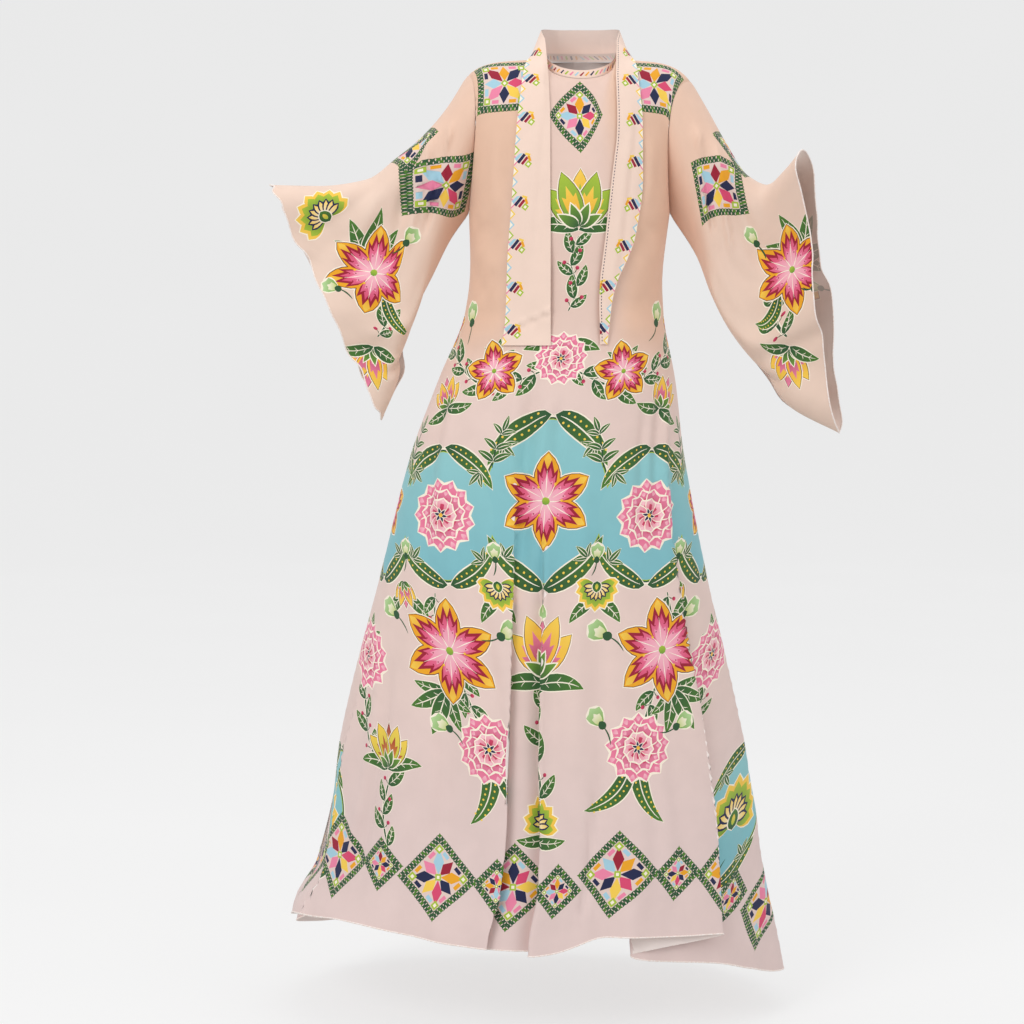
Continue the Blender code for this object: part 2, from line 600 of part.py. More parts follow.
def make_cloth():
    """All cloth pieces by name."""
    front_runs = (
        (-90, -NECK_ANGLE, SIDE_COLUMNS),
        (-NECK_ANGLE, NECK_ANGLE, NECK_COLUMNS_FRONT),
        (NECK_ANGLE, 90, SIDE_COLUMNS),
    )
    right_runs = ((90, 180 - NECK_ANGLE, SIDE_COLUMNS), (180 - NECK_ANGLE, 180, NECK_COLUMNS_BACK))
    left_runs = ((-180, NECK_ANGLE - 180, NECK_COLUMNS_BACK), (NECK_ANGLE - 180, -90, SIDE_COLUMNS))
    front = panel(front_runs, True)
    back_right = panel(right_runs, False)
    back_left = panel(left_runs, False)

    armhole = slice(SKIRT_ROWS, None)
    left_ring = np.concatenate([front[0, armhole], back_left[-1, armhole][-2:0:-1]])
    right_ring = np.concatenate([front[-1, armhole], back_right[0, armhole][-2:0:-1]])
    # Round +X the ring runs the other way, so that across x along still points outwards.
    right_grid = np.roll(sleeve(1, right_ring)[::-1], 1, axis=0)

    neck_rows = np.concatenate(
        [
            back_left[: NECK_COLUMNS_BACK + 1, -1],
            front[SIDE_COLUMNS + 1 : SIDE_COLUMNS + NECK_COLUMNS_FRONT + 1, -1],
            back_right[SIDE_COLUMNS + 1 :, -1],
        ]
    )
    slit = {
        "back_right": {"last": slit_gaps(back_right[-1, :, 2])},
        "back_left": {"first": slit_gaps(back_left[0, :, 2])},
    }
    band_end = {"first": SLIT_HALF, "last": SLIT_HALF}
    all_seams = ("first", "last", "top")
    return {
        "front": cloth_piece(front, all_seams),
        "back_left": cloth_piece(back_left, all_seams, gaps=slit["back_left"]),
        "back_right": cloth_piece(back_right, all_seams, gaps=slit["back_right"]),
        "sleeve_left": cloth_piece(sleeve(-1, left_ring), ("bottom",), ring=True),
        "sleeve_right": cloth_piece(right_grid, ("bottom",), ring=True),
        "neckband": cloth_piece(neckband(neck_rows), ("first", "last", "bottom"), gaps=band_end),
        "scarf_back": cloth_piece(scarf_back(), ("first", "last")),
        "scarf_left": cloth_piece(scarf_end(-1), ("top",)),
        "scarf_right": cloth_piece(scarf_end(1), ("top",)),
    }


def make_button(band):
    """A turned button on the outside of the band's right end at centre back."""
    grid, ways = band["grid"], band["ways"]
    seat, outward = grid[-2, 1], unit(ways[-2, 1] * np.array([1, 1, 0]))
    profile = (
        (0.0, 0.0),
        (BUTTON_RADIUS - BUTTON_RIM, 0.0),
        (BUTTON_RADIUS, BUTTON_RIM),
        (BUTTON_RADIUS, BUTTON_HEIGHT - BUTTON_RIM),
        (BUTTON_RADIUS - BUTTON_RIM, BUTTON_HEIGHT),
        (BUTTON_RADIUS - 2 * BUTTON_RIM, BUTTON_HEIGHT - BUTTON_RIM / 2),
        (0.0, BUTTON_HEIGHT - BUTTON_RIM / 2),
    )
    sides = BUTTON_SIDES
    base = seat + outward * (WALL / 2 + 2 * SEAM)
    up = np.array([0.0, 0.0, 1.0])
    level = unit(np.cross(up, outward))
    points = [base + outward * profile[0][1], base + outward * profile[-1][1]]
    for radius, out in profile[1:-1]:
        for n in range(sides):
            turn = 2 * math.pi * n / sides
            points.append(base + outward * out + radius * (math.cos(turn) * level + math.sin(turn) * up))
    rings = len(profile) - 2
    faces = []
    for n in range(sides):
        after = (n + 1) % sides
        faces.append((0, 2 + after, 2 + n))
        faces.append((1, 2 + (rings - 1) * sides + n, 2 + (rings - 1) * sides + after))
        for k in range(rings - 1):
            low, high = 2 + k * sides, 2 + (k + 1) * sides
            faces.append((low + n, low + after, high + after, high + n))
    return points, faces


def main():
    for old in list(bpy.data.objects):
        bpy.data.objects.remove(old)
    cloth = material("woven cloth", BLUSH, 0.7)
    shell = material("moulded shell button", PEARL, 0.3)
    pieces = make_cloth()
    share_normals(list(pieces.values()))
    for piece in pieces.values():
        hold_back(piece)
    for name, piece in pieces.items():
        add_object(name, *wall(piece), cloth)
    add_object("button", *make_button(pieces["neckband"]), shell)


main()
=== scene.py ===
"""Looks of the maxi dress: woven crepe with its print, rolled hems, neck scarf, band and button.

Lengths are in metres in the model's own frame, +Z up and the front towards -Y. The print and the flat
charts of the cloth that carry it are in millimetres. "left" and "right" in names are -X and +X.
"""

import json
import math
from collections import namedtuple

import bpy
import numpy as np
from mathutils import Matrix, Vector
from mathutils.geometry import delaunay_2d_cdt

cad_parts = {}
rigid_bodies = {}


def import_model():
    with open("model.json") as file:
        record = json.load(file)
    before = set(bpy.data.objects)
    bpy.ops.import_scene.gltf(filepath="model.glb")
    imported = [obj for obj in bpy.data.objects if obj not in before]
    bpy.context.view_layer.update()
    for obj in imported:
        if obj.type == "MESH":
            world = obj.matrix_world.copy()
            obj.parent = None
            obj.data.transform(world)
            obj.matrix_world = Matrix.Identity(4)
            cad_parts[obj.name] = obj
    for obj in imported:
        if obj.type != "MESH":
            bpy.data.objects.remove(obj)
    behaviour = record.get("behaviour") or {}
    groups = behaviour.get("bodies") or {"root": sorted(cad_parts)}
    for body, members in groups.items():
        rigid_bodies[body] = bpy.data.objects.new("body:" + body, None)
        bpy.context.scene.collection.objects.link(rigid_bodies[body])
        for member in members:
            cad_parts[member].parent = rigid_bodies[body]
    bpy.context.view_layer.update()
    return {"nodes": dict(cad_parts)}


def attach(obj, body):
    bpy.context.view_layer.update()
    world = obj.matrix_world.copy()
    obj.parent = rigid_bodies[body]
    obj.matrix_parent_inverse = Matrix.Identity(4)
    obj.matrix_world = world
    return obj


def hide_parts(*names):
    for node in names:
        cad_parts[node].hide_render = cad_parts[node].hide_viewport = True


for old in list(bpy.data.objects):
    bpy.data.objects.remove(old)
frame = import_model()

MM = 1000.0  # millimetres in a metre

# Cloth
CLOTH = 0.0005  # thickness; the solids' wall is thicker
COARSE_DEPTH = 0.0011  # how much further in a plain inside of larger triangles lies, to stay clear
HEM_RADIUS = 0.0012  # of the rolled hems
WELT_DIP, WELT_WIDTH = 1.1, 3.0  # how deep and how wide a seam pulls the cloth in, mm

# Bodice
UNDERARM = -0.249  # height at which the armholes begin
WAIST = -0.40
NECK_ANGLE = 18.0  # the columns within this angle of centre front or back end on the neckline
NECK_HALF, NECK_FRONT, NECK_BACK = 0.060, 0.070, 0.058
NECK_Y = 0.002
NECK_DROP, NECK_RISE = 0.036, 0.006
ARMHOLE_FORWARD, ARMHOLE_BACKWARD = 0.062, 0.058
BULGE_BLEND, NIP_BLEND = 4, 2  # how close to the armhole its bulge and its nip keep
SHOULDER_SLOPE, SHOULDER_ROUND = 0.15, 5  # the drop along the shoulder seam: even share, then rounding
CHEST_CURVE, SHOULDER_CURVE = 1.8, 0.6
BACK_CURVE, BLADE_CURVE = 2.6, 0.5

# Sleeves
SLEEVE_EASE = 0.4  # the share of its length over which a sleeve leaves the armhole's own shape
ARM_FILL = 3.2  # how far down from the top the arm fills a sleeve, in its own half depths
SEAM_ROUND = 2.0  # how far up from the underarm seam a sleeve is rounded, in its half depths there

# Neckband and scarf
BAND_HEIGHT, BAND_LEAN = 0.013, 0.0025
SCARF_COLUMNS, SCARF_BACK_ROWS, SCARF_HANG_ROWS = 4, 5, 13
SCARF_NECK_SHARES = (0.0, 0.5, 1.0)  # rows from the split of the scarf to the end of its neck turn
SCARF_DOWN_SHARES = (0.25, 0.5, 0.75)  # rows from there to the top of the hanging end
SCARF_PROUD = 0.0032  # from the middle of the front's wall to the middle of the scarf's

# Columns and rows
FOLD_REACH = 1.6  # how far to each side a fold draws columns together, in fold widths
STEP_PULL = 150  # how strongly a step draws columns together beside a lean of one degree
GRID_COLUMNS, SKIRT_GRID, UPPER_GRID = 361, 261, 100  # of the charts of a back; a front has twice the columns
SLEEVE_AROUND, SLEEVE_ALONG = 361, 161  # of a sleeve's chart
SCARF_FINE, BAND_FINE_ROWS = (33, 301), 9  # of the scarf's and the neckband's charts
FRONT_GRID, BACK_GRID = (186, 58, 24), (124, 64, 26)  # of the cloth: columns, rows in the skirt and above
SLEEVE_GRID, SCARF_GRID, BAND_GRID = (121, 41), (13, 76), (97, 5)  # of the cloth: columns and rows

# The tube of bodice and skirt: its middle, half width and depths at each height, and how square it is.
Section = namedtuple("Section", "height middle half front back power")
TRUNK = (
    Section(-1.52, -0.084, 0.418, 0.290, 0.310, 2.0),
    Section(-1.40, -0.084, 0.394, 0.272, 0.290, 2.0),
    Section(-1.32, -0.070, 0.362, 0.258, 0.272, 2.0),
    Section(-1.22, -0.066, 0.345, 0.244, 0.252, 2.0),
    Section(-1.12, -0.068, 0.331, 0.231, 0.238, 2.0),
    Section(-1.04, -0.067, 0.315, 0.218, 0.224, 2.0),
    Section(-0.85, -0.062, 0.270, 0.186, 0.194, 2.05),
    Section(-0.65, -0.054, 0.227, 0.156, 0.166, 2.15),
    Section(-0.52, -0.038, 0.195, 0.138, 0.146, 2.25),
    Section(-0.41, -0.026, 0.163, 0.122, 0.108, 2.35),
    Section(-0.35, -0.023, 0.158, 0.122, 0.100, 2.4),
    Section(-0.249, -0.018, 0.1645, 0.124, 0.098, 2.4),
)

# Skirt folds, by the angle round the body at which they lie. lean pushes the cloth sideways over
# itself, step sets one side of the line over the other, and crest lifts the line itself.
Fold = namedtuple("Fold", "name top hem width lean step crest start full")
FOLDS = (
    Fold("beside the centre", -8.0, -12.4, 2.3, 4.8, 0.012, 0.000, -0.58, -1.15),
    Fold("centre", -0.5, 0.2, 2.3, 2.4, -0.011, 0.000, -0.50, -1.10),
    Fold("wide overlap", 64.0, 36.5, 5.0, 17.0, 0.019, 0.000, -0.50, -1.42),
    Fold("left edge", -74.0, -67.0, 3.6, 6.5, -0.012, 0.000, -0.85, -1.25),
    Fold("left of front", -44.0, -42.0, 7.0, 0.0, 0.000, 0.012, -0.60, -1.30),
    Fold("left hollow", -28.0, -26.0, 5.0, 0.0, 0.000, -0.008, -0.60, -1.30),
    Fold("short crease", 16.0, 17.0, 2.6, 0.0, 0.000, -0.006, -1.05, -1.25),
    Fold("right of front", 28.0, 22.0, 5.0, 0.0, 0.000, 0.007, -0.70, -1.30),
    Fold("right side", 92.0, 84.0, 6.0, 0.0, 0.006, 0.012, -0.60, -1.30),
    Fold("right back", 112.0, 108.0, 5.0, 6.0, -0.012, 0.004, -0.55, -1.25),
    Fold("right of back", 132.0, 132.0, 6.0, 0.0, 0.000, 0.020, -0.50, -1.20),
    Fold("centre back", 156.0, 156.0, 4.5, 5.5, 0.013, 0.000, -0.50, -1.20),
    Fold("back hollow", 178.0, 178.0, 6.0, 0.0, 0.000, -0.012, -0.55, -1.20),
    Fold("left of back", -156.0, -154.0, 4.5, 5.5, -0.013, 0.006, -0.50, -1.20),
    Fold("left back", -130.0, -131.0, 6.0, 0.0, 0.000, 0.020, -0.50, -1.20),
    Fold("left side", -106.0, -108.0, 5.0, 4.0, 0.011, 0.006, -0.60, -1.25),
)

# Height of the hem round the body: lifted at the front left, trailing at the back.
Hem = namedtuple("Hem", "angle height")
HEM = (
    Hem(-180, -1.482),
    Hem(-135, -1.478),
    Hem(-105, -1.440),
    Hem(-84, -1.405),
    Hem(-66, -1.392),
    Hem(-45, -1.382),
    Hem(-22, -1.400),
    Hem(-6, -1.408),
    Hem(3, -1.414),
    Hem(18, -1.390),
    Hem(33, -1.402),
    Hem(44, -1.436),
    Hem(60, -1.470),
    Hem(78, -1.494),
    Hem(95, -1.500),
    Hem(135, -1.490),
    Hem(180, -1.482),
)

# Shoulder ends and how far each armhole is nipped in between shoulder and underarm.
Shoulder = namedtuple("Shoulder", "x y z nip")
SHOULDERS = {-1: Shoulder(-0.186, 0.004, -0.024, 0.012), 1: Shoulder(0.182, 0.004, -0.033, 0.012)}

# Sleeve sections from armhole to opening: the line along the top of the arm, the line along the
# underarm seam, the half depths round the arm and below it, and how far the section is turned.
Cut = namedtuple("Cut", "along top_x top_y top_z under_x under_y under_z arm low turn")
SLEEVES = {
    -1: (
        Cut(0.00, -0.186, 0.004, -0.024, -0.1825, 0.000, -0.249, 0.062, 0.060, 0),
        Cut(0.15, -0.218, 0.002, -0.075, -0.212, -0.002, -0.291, 0.060, 0.050, 0),
        Cut(0.30, -0.257, -0.002, -0.121, -0.238, -0.005, -0.343, 0.057, 0.042, 0),
        Cut(0.45, -0.302, -0.006, -0.159, -0.263, -0.009, -0.393, 0.053, 0.036, 0),
        Cut(0.60, -0.351, -0.012, -0.194, -0.281, -0.014, -0.447, 0.048, 0.032, 0),
        Cut(0.80, -0.429, -0.022, -0.205, -0.298, -0.022, -0.520, 0.044, 0.028, 0),
        Cut(1.00, -0.509, -0.032, -0.204, -0.327, -0.030, -0.590, 0.042, 0.026, 0),
    ),
    1: (
        Cut(0.00, 0.182, 0.004, -0.033, 0.1465, 0.000, -0.249, 0.062, 0.060, 0),
        Cut(0.15, 0.212, 0.000, -0.085, 0.191, -0.004, -0.319, 0.060, 0.050, 4),
        Cut(0.30, 0.241, -0.008, -0.138, 0.216, -0.010, -0.384, 0.057, 0.042, 8),
        Cut(0.45, 0.273, -0.018, -0.187, 0.249, -0.017, -0.445, 0.053, 0.036, 13),
        Cut(0.60, 0.304, -0.036, -0.204, 0.291, -0.027, -0.499, 0.048, 0.032, 18),
        Cut(0.80, 0.330, -0.083, -0.183, 0.350, -0.050, -0.569, 0.044, 0.028, 24),
        Cut(1.00, 0.351, -0.130, -0.155, 0.425, -0.078, -0.610, 0.042, 0.026, 28),
    ),
}

# Sleeve creases: from a place between top (0) and underarm (1) at the armhole to one at the opening.
Crease = namedtuple("Crease", "name start end width front back begins")
CREASES = (
    Crease("from the elbow", 0.45, 0.26, 0.07, -0.012, -0.009, 0.25),
    Crease("below the elbow", 0.66, 0.52, 0.08, 0.010, 0.011, 0.30),
    Crease("above the tip", 0.90, 0.78, 0.07, -0.010, -0.012, 0.45),
)

# The scarf round the neck, from centre back to where it comes to lie on the chest: the edge next to
# the neck and the free edge. The left half is the same with x changed in sign.
Turn = namedtuple("Turn", "name inner_x inner_y inner_z outer_x outer_y outer_z")
NECK_TURNS = (
    Turn("centre back", 0.000, 0.071, 0.060, 0.000, 0.084, 0.014),
    Turn("behind", 0.030, 0.065, 0.059, 0.036, 0.077, 0.013),
    Turn("beside", 0.053, 0.043, 0.057, 0.066, 0.049, 0.010),
    Turn("over the shoulder", 0.064, 0.008, 0.051, 0.082, 0.010, 0.006),
    Turn("down the neck", 0.058, -0.030, 0.030, 0.085, -0.036, -0.001),
)
SCARF_SPLIT = 3  # the turn at which the back stretch meets the ends

# The hanging ends: the x of both edges at each height.
Hang = namedtuple("Hang", "height inner outer")
HANGS = {
    -1: (
        Hang(-0.035, -0.055, -0.094),
        Hang(-0.110, -0.052, -0.103),
        Hang(-0.200, -0.051, -0.109),
        Hang(-0.320, -0.050, -0.117),
        Hang(-0.430, -0.050, -0.122),
        Hang(-0.466, -0.050, -0.128),
    ),
    1: (
        Hang(-0.035, 0.054, 0.090),
        Hang(-0.110, 0.055, 0.096),
        Hang(-0.200, 0.046, 0.096),
        Hang(-0.290, 0.036, 0.083),
        Hang(-0.390, 0.026, 0.047),
        Hang(-0.464, 0.028, 0.040),
    ),
}


def through(xs, ys, at):
    """A smooth curve through the points (xs, ys) that doesn't overshoot between them."""
    xs, ys, at = np.asarray(xs, float), np.asarray(ys, float), np.asarray(at, float)
    steps = np.diff(ys) / np.diff(xs)
    slopes = np.concatenate([steps[:1], np.zeros(len(xs) - 2), steps[-1:]])
    same = steps[:-1] * steps[1:] > 0
    total = np.where(same, steps[:-1] + steps[1:], 1.0)
    slopes[1:-1] = np.where(same, 2 * steps[:-1] * steps[1:] / total, 0.0)
    i = np.clip(np.searchsorted(xs, at) - 1, 0, len(xs) - 2)
    length = xs[i + 1] - xs[i]
    t = np.clip((at - xs[i]) / length, 0, 1)
    near = (1 + 2 * t) * (1 - t) ** 2 * ys[i] + t * (1 - t) ** 2 * length * slopes[i]
    far = t * t * (3 - 2 * t) * ys[i + 1] - t * t * (1 - t) * length * slopes[i + 1]
    return near + far


def column(table, name):
    """One named column of a table."""
    return [getattr(row, name) for row in table]


def ease(t):
    """0 to 1, flat at both ends."""
    t = np.clip(t, 0, 1)
    return t * t * (3 - 2 * t)


def rounding(t):
    """0 to 1 as a quarter circle rises, and 1 from there."""
    return np.sqrt(1 - (1 - np.clip(t, 0, 1)) ** 2)


def signed_power(base, power):
    return np.sign(base) * np.abs(base) ** power


def unit(vectors):
    lengths = np.linalg.norm(vectors, axis=-1, keepdims=True)
    return vectors / np.maximum(lengths, 1e-12)


def points_of(x, y, z):
    return np.stack(np.broadcast_arrays(x, y, z), axis=-1)


def trunk(angle, height):
    """The plain tube at an angle (degrees, 0 in front, 90 at +X) and a height, and its outward way."""
    heights = column(TRUNK, "height")
    middle, half, front, back, power = (
        through(heights, column(TRUNK, name), height) for name in Section._fields[1:]
    )
    across, forward = np.sin(np.radians(angle)), np.cos(np.radians(angle))
    depth = np.where(forward >= 0, front, back)
    x = middle + half * signed_power(across, 2 / power)
    y = -depth * signed_power(forward, 2 / power)
    outward = unit(points_of(across / half, -forward / depth, 0 * height))
    return points_of(x, y, height), outward


def folded(angle, height):
    """The tube with its folds."""
    angle, height = np.broadcast_arrays(np.asarray(angle, float), height)
    fall = np.clip((WAIST - height) / (WAIST - TRUNK[1].height), 0, 1)
    moved, lift = angle.copy(), np.zeros_like(angle)
    for fold in FOLDS:
        line = fold.top + (fold.hem - fold.top) * fall
        t = ((angle - line + 180) % 360 - 180) / fold.width
        grown = ease((fold.start - height) / (fold.start - fold.full))
        bend = t * np.exp((1 - t * t) / 2)
        moved = moved - fold.lean * grown * bend
        lift = lift + grown * (fold.crest * np.exp(-t * t / 2) - fold.step * bend)
    point, outward = trunk(moved, height)
    return point + outward * lift[..., None]


def top_edge(across, front):
    """Neckline and shoulder seams: where the column at this angle from centre front or back ends."""
    side, away = np.sign(across), np.abs(across)
    round_neck = np.radians(90 * np.clip(away / NECK_ANGLE, 0, 1))
    sine, cosine = np.sin(round_neck), np.cos(round_neck)
    neck_depth = -NECK_FRONT if front else NECK_BACK
    neck_height = -NECK_DROP if front else NECK_RISE
    neck = points_of(side * NECK_HALF * sine, NECK_Y + neck_depth * cosine, neck_height * cosine)
    t = np.clip((away - NECK_ANGLE) / (90 - NECK_ANGLE), 0, 1)
    ends = np.where(side[..., None] < 0, SHOULDERS[-1][:3], SHOULDERS[1][:3])
    start = points_of(side * NECK_HALF, NECK_Y, 0.0)
    droop = SHOULDER_SLOPE * t + (1 - SHOULDER_SLOPE) * t**SHOULDER_ROUND
    mix = points_of(t, t, droop)
    shoulder = start + (ends - start) * mix
    return np.where((away <= NECK_ANGLE)[..., None], neck, shoulder)


def upper(across, rise, front):
    """Above the underarm: from the tube (rise 0) to the neckline and shoulder seams (rise 1)."""
    across, rise = np.broadcast_arrays(np.asarray(across, float), rise)
    side, away = np.sign(across), np.abs(across)
    angle = across if front else side * (180 - away)
    angle = np.where(side == 0, 0 if front else 180, angle)
    base = folded(angle, UNDERARM)
    top = top_edge(across, front)
    turn = rise * math.pi / 2
    shoulder = ease(away / NECK_ANGLE)
    hollow = np.sin(np.pi * rise)
    bulge = (-ARMHOLE_FORWARD if front else ARMHOLE_BACKWARD) * (away / 90) ** BULGE_BLEND * hollow
    deepest = np.where(side < 0, SHOULDERS[-1].nip, SHOULDERS[1].nip)
    nip = deepest * (away / 90) ** NIP_BLEND * hollow
    climb = (1 - shoulder) * rise + shoulder * np.sin(turn)
    body, edge = (CHEST_CURVE, SHOULDER_CURVE) if front else (BACK_CURVE, BLADE_CURVE)
    rounded = np.cos(np.minimum(turn, math.pi / 2)).clip(0) ** edge
    fade = (1 - shoulder) * (1 - rise**body) + shoulder * rounded
    x = base[..., 0] + (top[..., 0] - base[..., 0]) * rise**2 - side * nip
    y = top[..., 1] + (base[..., 1] - top[..., 1]) * fade + bulge
    z = base[..., 2] + (top[..., 2] - base[..., 2]) * climb
    return points_of(x, y, z)


def spread(start, end, count):
    """Angles from start to end, closer together where folds bend the cloth sharply."""
    fine = np.linspace(start, end, 2001)
    weight = np.ones_like(fine)
    for fold in FOLDS:
        sharp = (fold.lean + STEP_PULL * abs(fold.step)) / fold.width
        away = (fine - fold.hem + 180) % 360 - 180
        weight += sharp * np.exp(-((away / (FOLD_REACH * fold.width)) ** 2) / 2)
    total = np.concatenate([[0], np.cumsum((weight[1:] + weight[:-1]) / 2)])
    return np.interp(np.linspace(0, total[-1], count + 1), total, fine)


def body(front, angle, rise):
    """Bodice and skirt: rise is 0 at the hem, 1 at the underarm, 2 at neckline and shoulder."""
    hem = through(column(HEM, "angle"), column(HEM, "height"), angle)
    skirt = folded(angle, hem + (UNDERARM - hem) * np.clip(rise, 0, 1))
    across = angle if front else np.sign(angle) * (180 - np.abs(angle))
    top = upper(across, np.clip(rise - 1, 0, 1), front)
    return np.where((rise <= 1)[..., None], skirt, top)


def sleeve(side, around, along):
    """A sleeve: around is 0 and 1 at the underarm seam, 0.5 on top and less in front of it."""
    cuts = SLEEVES[side]
    cut = {name: through(column(cuts, "along"), column(cuts, name), along) for name in Cut._fields}
    left = 1 - ease(along / SLEEVE_EASE)
    top = upper(side * 90.0, np.array(1.0), True)
    under = upper(side * 90.0, np.array(0.0), True)
    first = cuts[0]
    tops = points_of(cut["top_x"], cut["top_y"], cut["top_z"])
    tops = tops + (top - (first.top_x, first.top_y, first.top_z)) * left[..., None]
    unders = points_of(cut["under_x"], cut["under_y"], cut["under_z"])
    unders = unders + (under - (first.under_x, first.under_y, first.under_z)) * left[..., None]
    turn = np.radians(cut["turn"]) * side
    depth_way = points_of(np.sin(turn), np.cos(turn), 0 * turn)
    rise = np.clip(np.where(around <= 0.5, 2 * around, 2 * (1 - around)), 0, 1)
    front_rim, back_rim = upper(side * 90.0, rise, True), upper(side * 90.0, rise, False)
    ring = np.where((around <= 0.5)[..., None], front_rim, back_rim)
    down = under - top
    down_0 = (ring - top) @ down / (down @ down)
    depth_0 = (ring - top - down_0[..., None] * down)[..., 1]
    rest = ring - top - down_0[..., None] * down - depth_0[..., None] * np.array([0, 1, 0])
    down_1 = (1 + np.cos(2 * np.pi * around)) / 2
    face = np.where(around <= 0.5, -1.0, 1.0)  # -1 on the front layer
    drop = down_1 + (down_0 - down_1) * left
    reach = np.linalg.norm(unders - tops, axis=-1)
    arm, low = cut["arm"], cut["low"]
    full = low + (arm - low) * (1 - ease(down_1 * reach / (ARM_FILL * arm)))
    from_top, from_seam = down_1 * reach / arm, (1 - down_1) * reach / (SEAM_ROUND * low)
    depth = face * full * rounding(from_top) * rounding(from_seam)
    for crease in CREASES:
        line = crease.start + (crease.end - crease.start) * along
        grown = ease((along - crease.begins) / (1 - crease.begins))
        lift = np.where(face < 0, crease.front, crease.back) * face
        depth = depth + lift * grown * np.exp(-(((down_1 - line) / crease.width) ** 2) / 2)
    depth = depth + (depth_0 - depth) * left
    middle = tops + drop[..., None] * (unders - tops)
    return middle + depth[..., None] * depth_way + rest * left[..., None]


def on_front(x, z):
    """The point of the front at this x and z, above the skirt's folds."""
    x, z = float(x), float(z)
    if z <= UNDERARM:
        heights = column(TRUNK, "height")
        middle, half, power = (
            float(through(heights, column(TRUNK, name), z)) for name in ("middle", "half", "power")
        )
        sine = signed_power((x - middle) / half, power / 2)
        return folded(math.degrees(math.asin(sine)), z)
    sample = np.linspace(-89, 89, 179)
    rises = np.linspace(0, 1, 101)
    across, rise = 0.0, 0.5
    for _ in range(12):
        across = float(np.interp(x, upper(sample, rise, True)[:, 0], sample))
        rise = float(np.interp(z, upper(across, rises, True)[:, 2], rises))
    return upper(across, rise, True)


def above_front(x, z, proud):
    """The point of the front at this x and z, moved out along its normal."""
    step = 0.003
    across = on_front(x + step, z) - on_front(x - step, z)
    up = on_front(x, z + step) - on_front(x, z - step)
    return on_front(x, z) + proud * unit(np.cross(across, up))


def clear_of_front(points):
    """Moves points that would touch the front out to where the scarf lies on it."""
    sample = upper(np.linspace(-85, 85, 121)[:, None], np.linspace(0, 1, 61)[None, :], True)
    outward = normals_of(sample).reshape(-1, 3)
    sample = sample.reshape(-1, 3)
    moved = []
    for point in points.reshape(-1, 3):
        nearest = np.argmin(((sample - point) ** 2).sum(axis=1))
        proud = (point - sample[nearest]) @ outward[nearest]
        moved.append(point + outward[nearest] * max(SCARF_PROUD - proud, 0))
    return np.array(moved).reshape(points.shape)


def neck_turn(side, shares):
    """Rows of the scarf round the neck, at these places along the turns."""
    places = range(len(NECK_TURNS))
    rows = []
    for share in shares:
        at = [float(through(places, column(NECK_TURNS, name), share)) for name in Turn._fields[1:]]
        inner, outer = np.array(at[:3]), np.array(at[3:])
        rows.append([inner + (outer - inner) * t for t in np.linspace(0, 1, SCARF_COLUMNS + 1)])
    return np.array(rows) * np.array([side, 1, 1])


def scarf_end(side):
    """The stretch of the scarf from the shoulder down the chest, as a grid from inner to outer edge."""
    last = len(NECK_TURNS) - 1
    neck = neck_turn(side, [SCARF_SPLIT + (last - SCARF_SPLIT) * t for t in SCARF_NECK_SHARES])
    hangs = HANGS[side][::-1]
    heights = column(hangs, "height")
    rows = []
    for height in np.linspace(heights[-1], heights[0], SCARF_HANG_ROWS + 1):
        inner, outer = (float(through(heights, column(hangs, n), height)) for n in ("inner", "outer"))
        across = np.linspace(inner, outer, SCARF_COLUMNS + 1)
        rows.append([above_front(x, height, SCARF_PROUD) for x in across])
    rows = np.array(rows)
    between = [neck[-1] + (rows[0] - neck[-1]) * t for t in SCARF_DOWN_SHARES]
    grid = clear_of_front(np.concatenate([neck, between, rows]))
    # Outward has to be across x along, so the columns run from -X to +X and the rows upwards.
    grid = grid[::-1].swapaxes(0, 1)
    return grid if side > 0 else grid[::-1]


def scarf_back():
    """The stretch of the scarf round the back of the neck, from +X round to -X."""
    shares = np.linspace(0, SCARF_SPLIT, SCARF_BACK_ROWS + 1)
    right = neck_turn(1, shares)[::-1]
    left = neck_turn(-1, shares)[1:]
    return np.concatenate([right, left])[:, ::-1]


def neckband(rows):
    """A band standing on the neckline points, from centre back round the front to centre back."""
    middle = rows.mean(axis=0)
    inward = unit((middle - rows) * np.array([1, 1, 0]))
    heights = np.array([0.0, 0.5, 1.0])
    lean = BAND_LEAN * heights**2
    lift = BAND_HEIGHT * heights
    return rows[:, None] + inward[:, None] * lean[:, None] + lift[:, None] * np.array([0, 0, 1])


def normals_of(grid, ring=False):
    """The outward direction at each point of a grid: across x along."""
    if ring:
        across = np.roll(grid, -1, axis=0) - np.roll(grid, 1, axis=0)
    else:
        across = np.gradient(grid, axis=0)
    return unit(np.cross(unit(across), unit(np.gradient(grid, axis=1))))


# ------------------------------------------------------------------ flat charts of the cloth

# Small creases that the solids leave out, in the flat of a piece: from one end to the other, how wide
# and how high, in millimetres. Troughs are below zero.
Ripple = namedtuple("Ripple", "u0 v0 u1 v1 width lift")
CREST = 60.0  # mm beside the middle line that stay free of flutes, as a sleeve turns over there


def flutes(start, end, count, top, low, lift, shift):
    """Uneven shallow waves, spreading a little, that run down between two places and out at an edge."""
    waves = []
    for k in range(count):
        u = start + (end - start) * (k + 0.5 + 0.28 * math.sin(2.4 * k + shift)) / count
        if abs(u) < CREST:
            continue
        begins = top + (low - top) * 0.22 * math.sin(1.3 * k + 2 * shift)
        rise = lift * (-1) ** k * (0.65 + 0.35 * math.sin(1.7 * k + shift))
        waves.append(Ripple(u, begins, u * 1.12, low, 15 + 5 * math.sin(3.1 * k + shift), rise))
    return waves


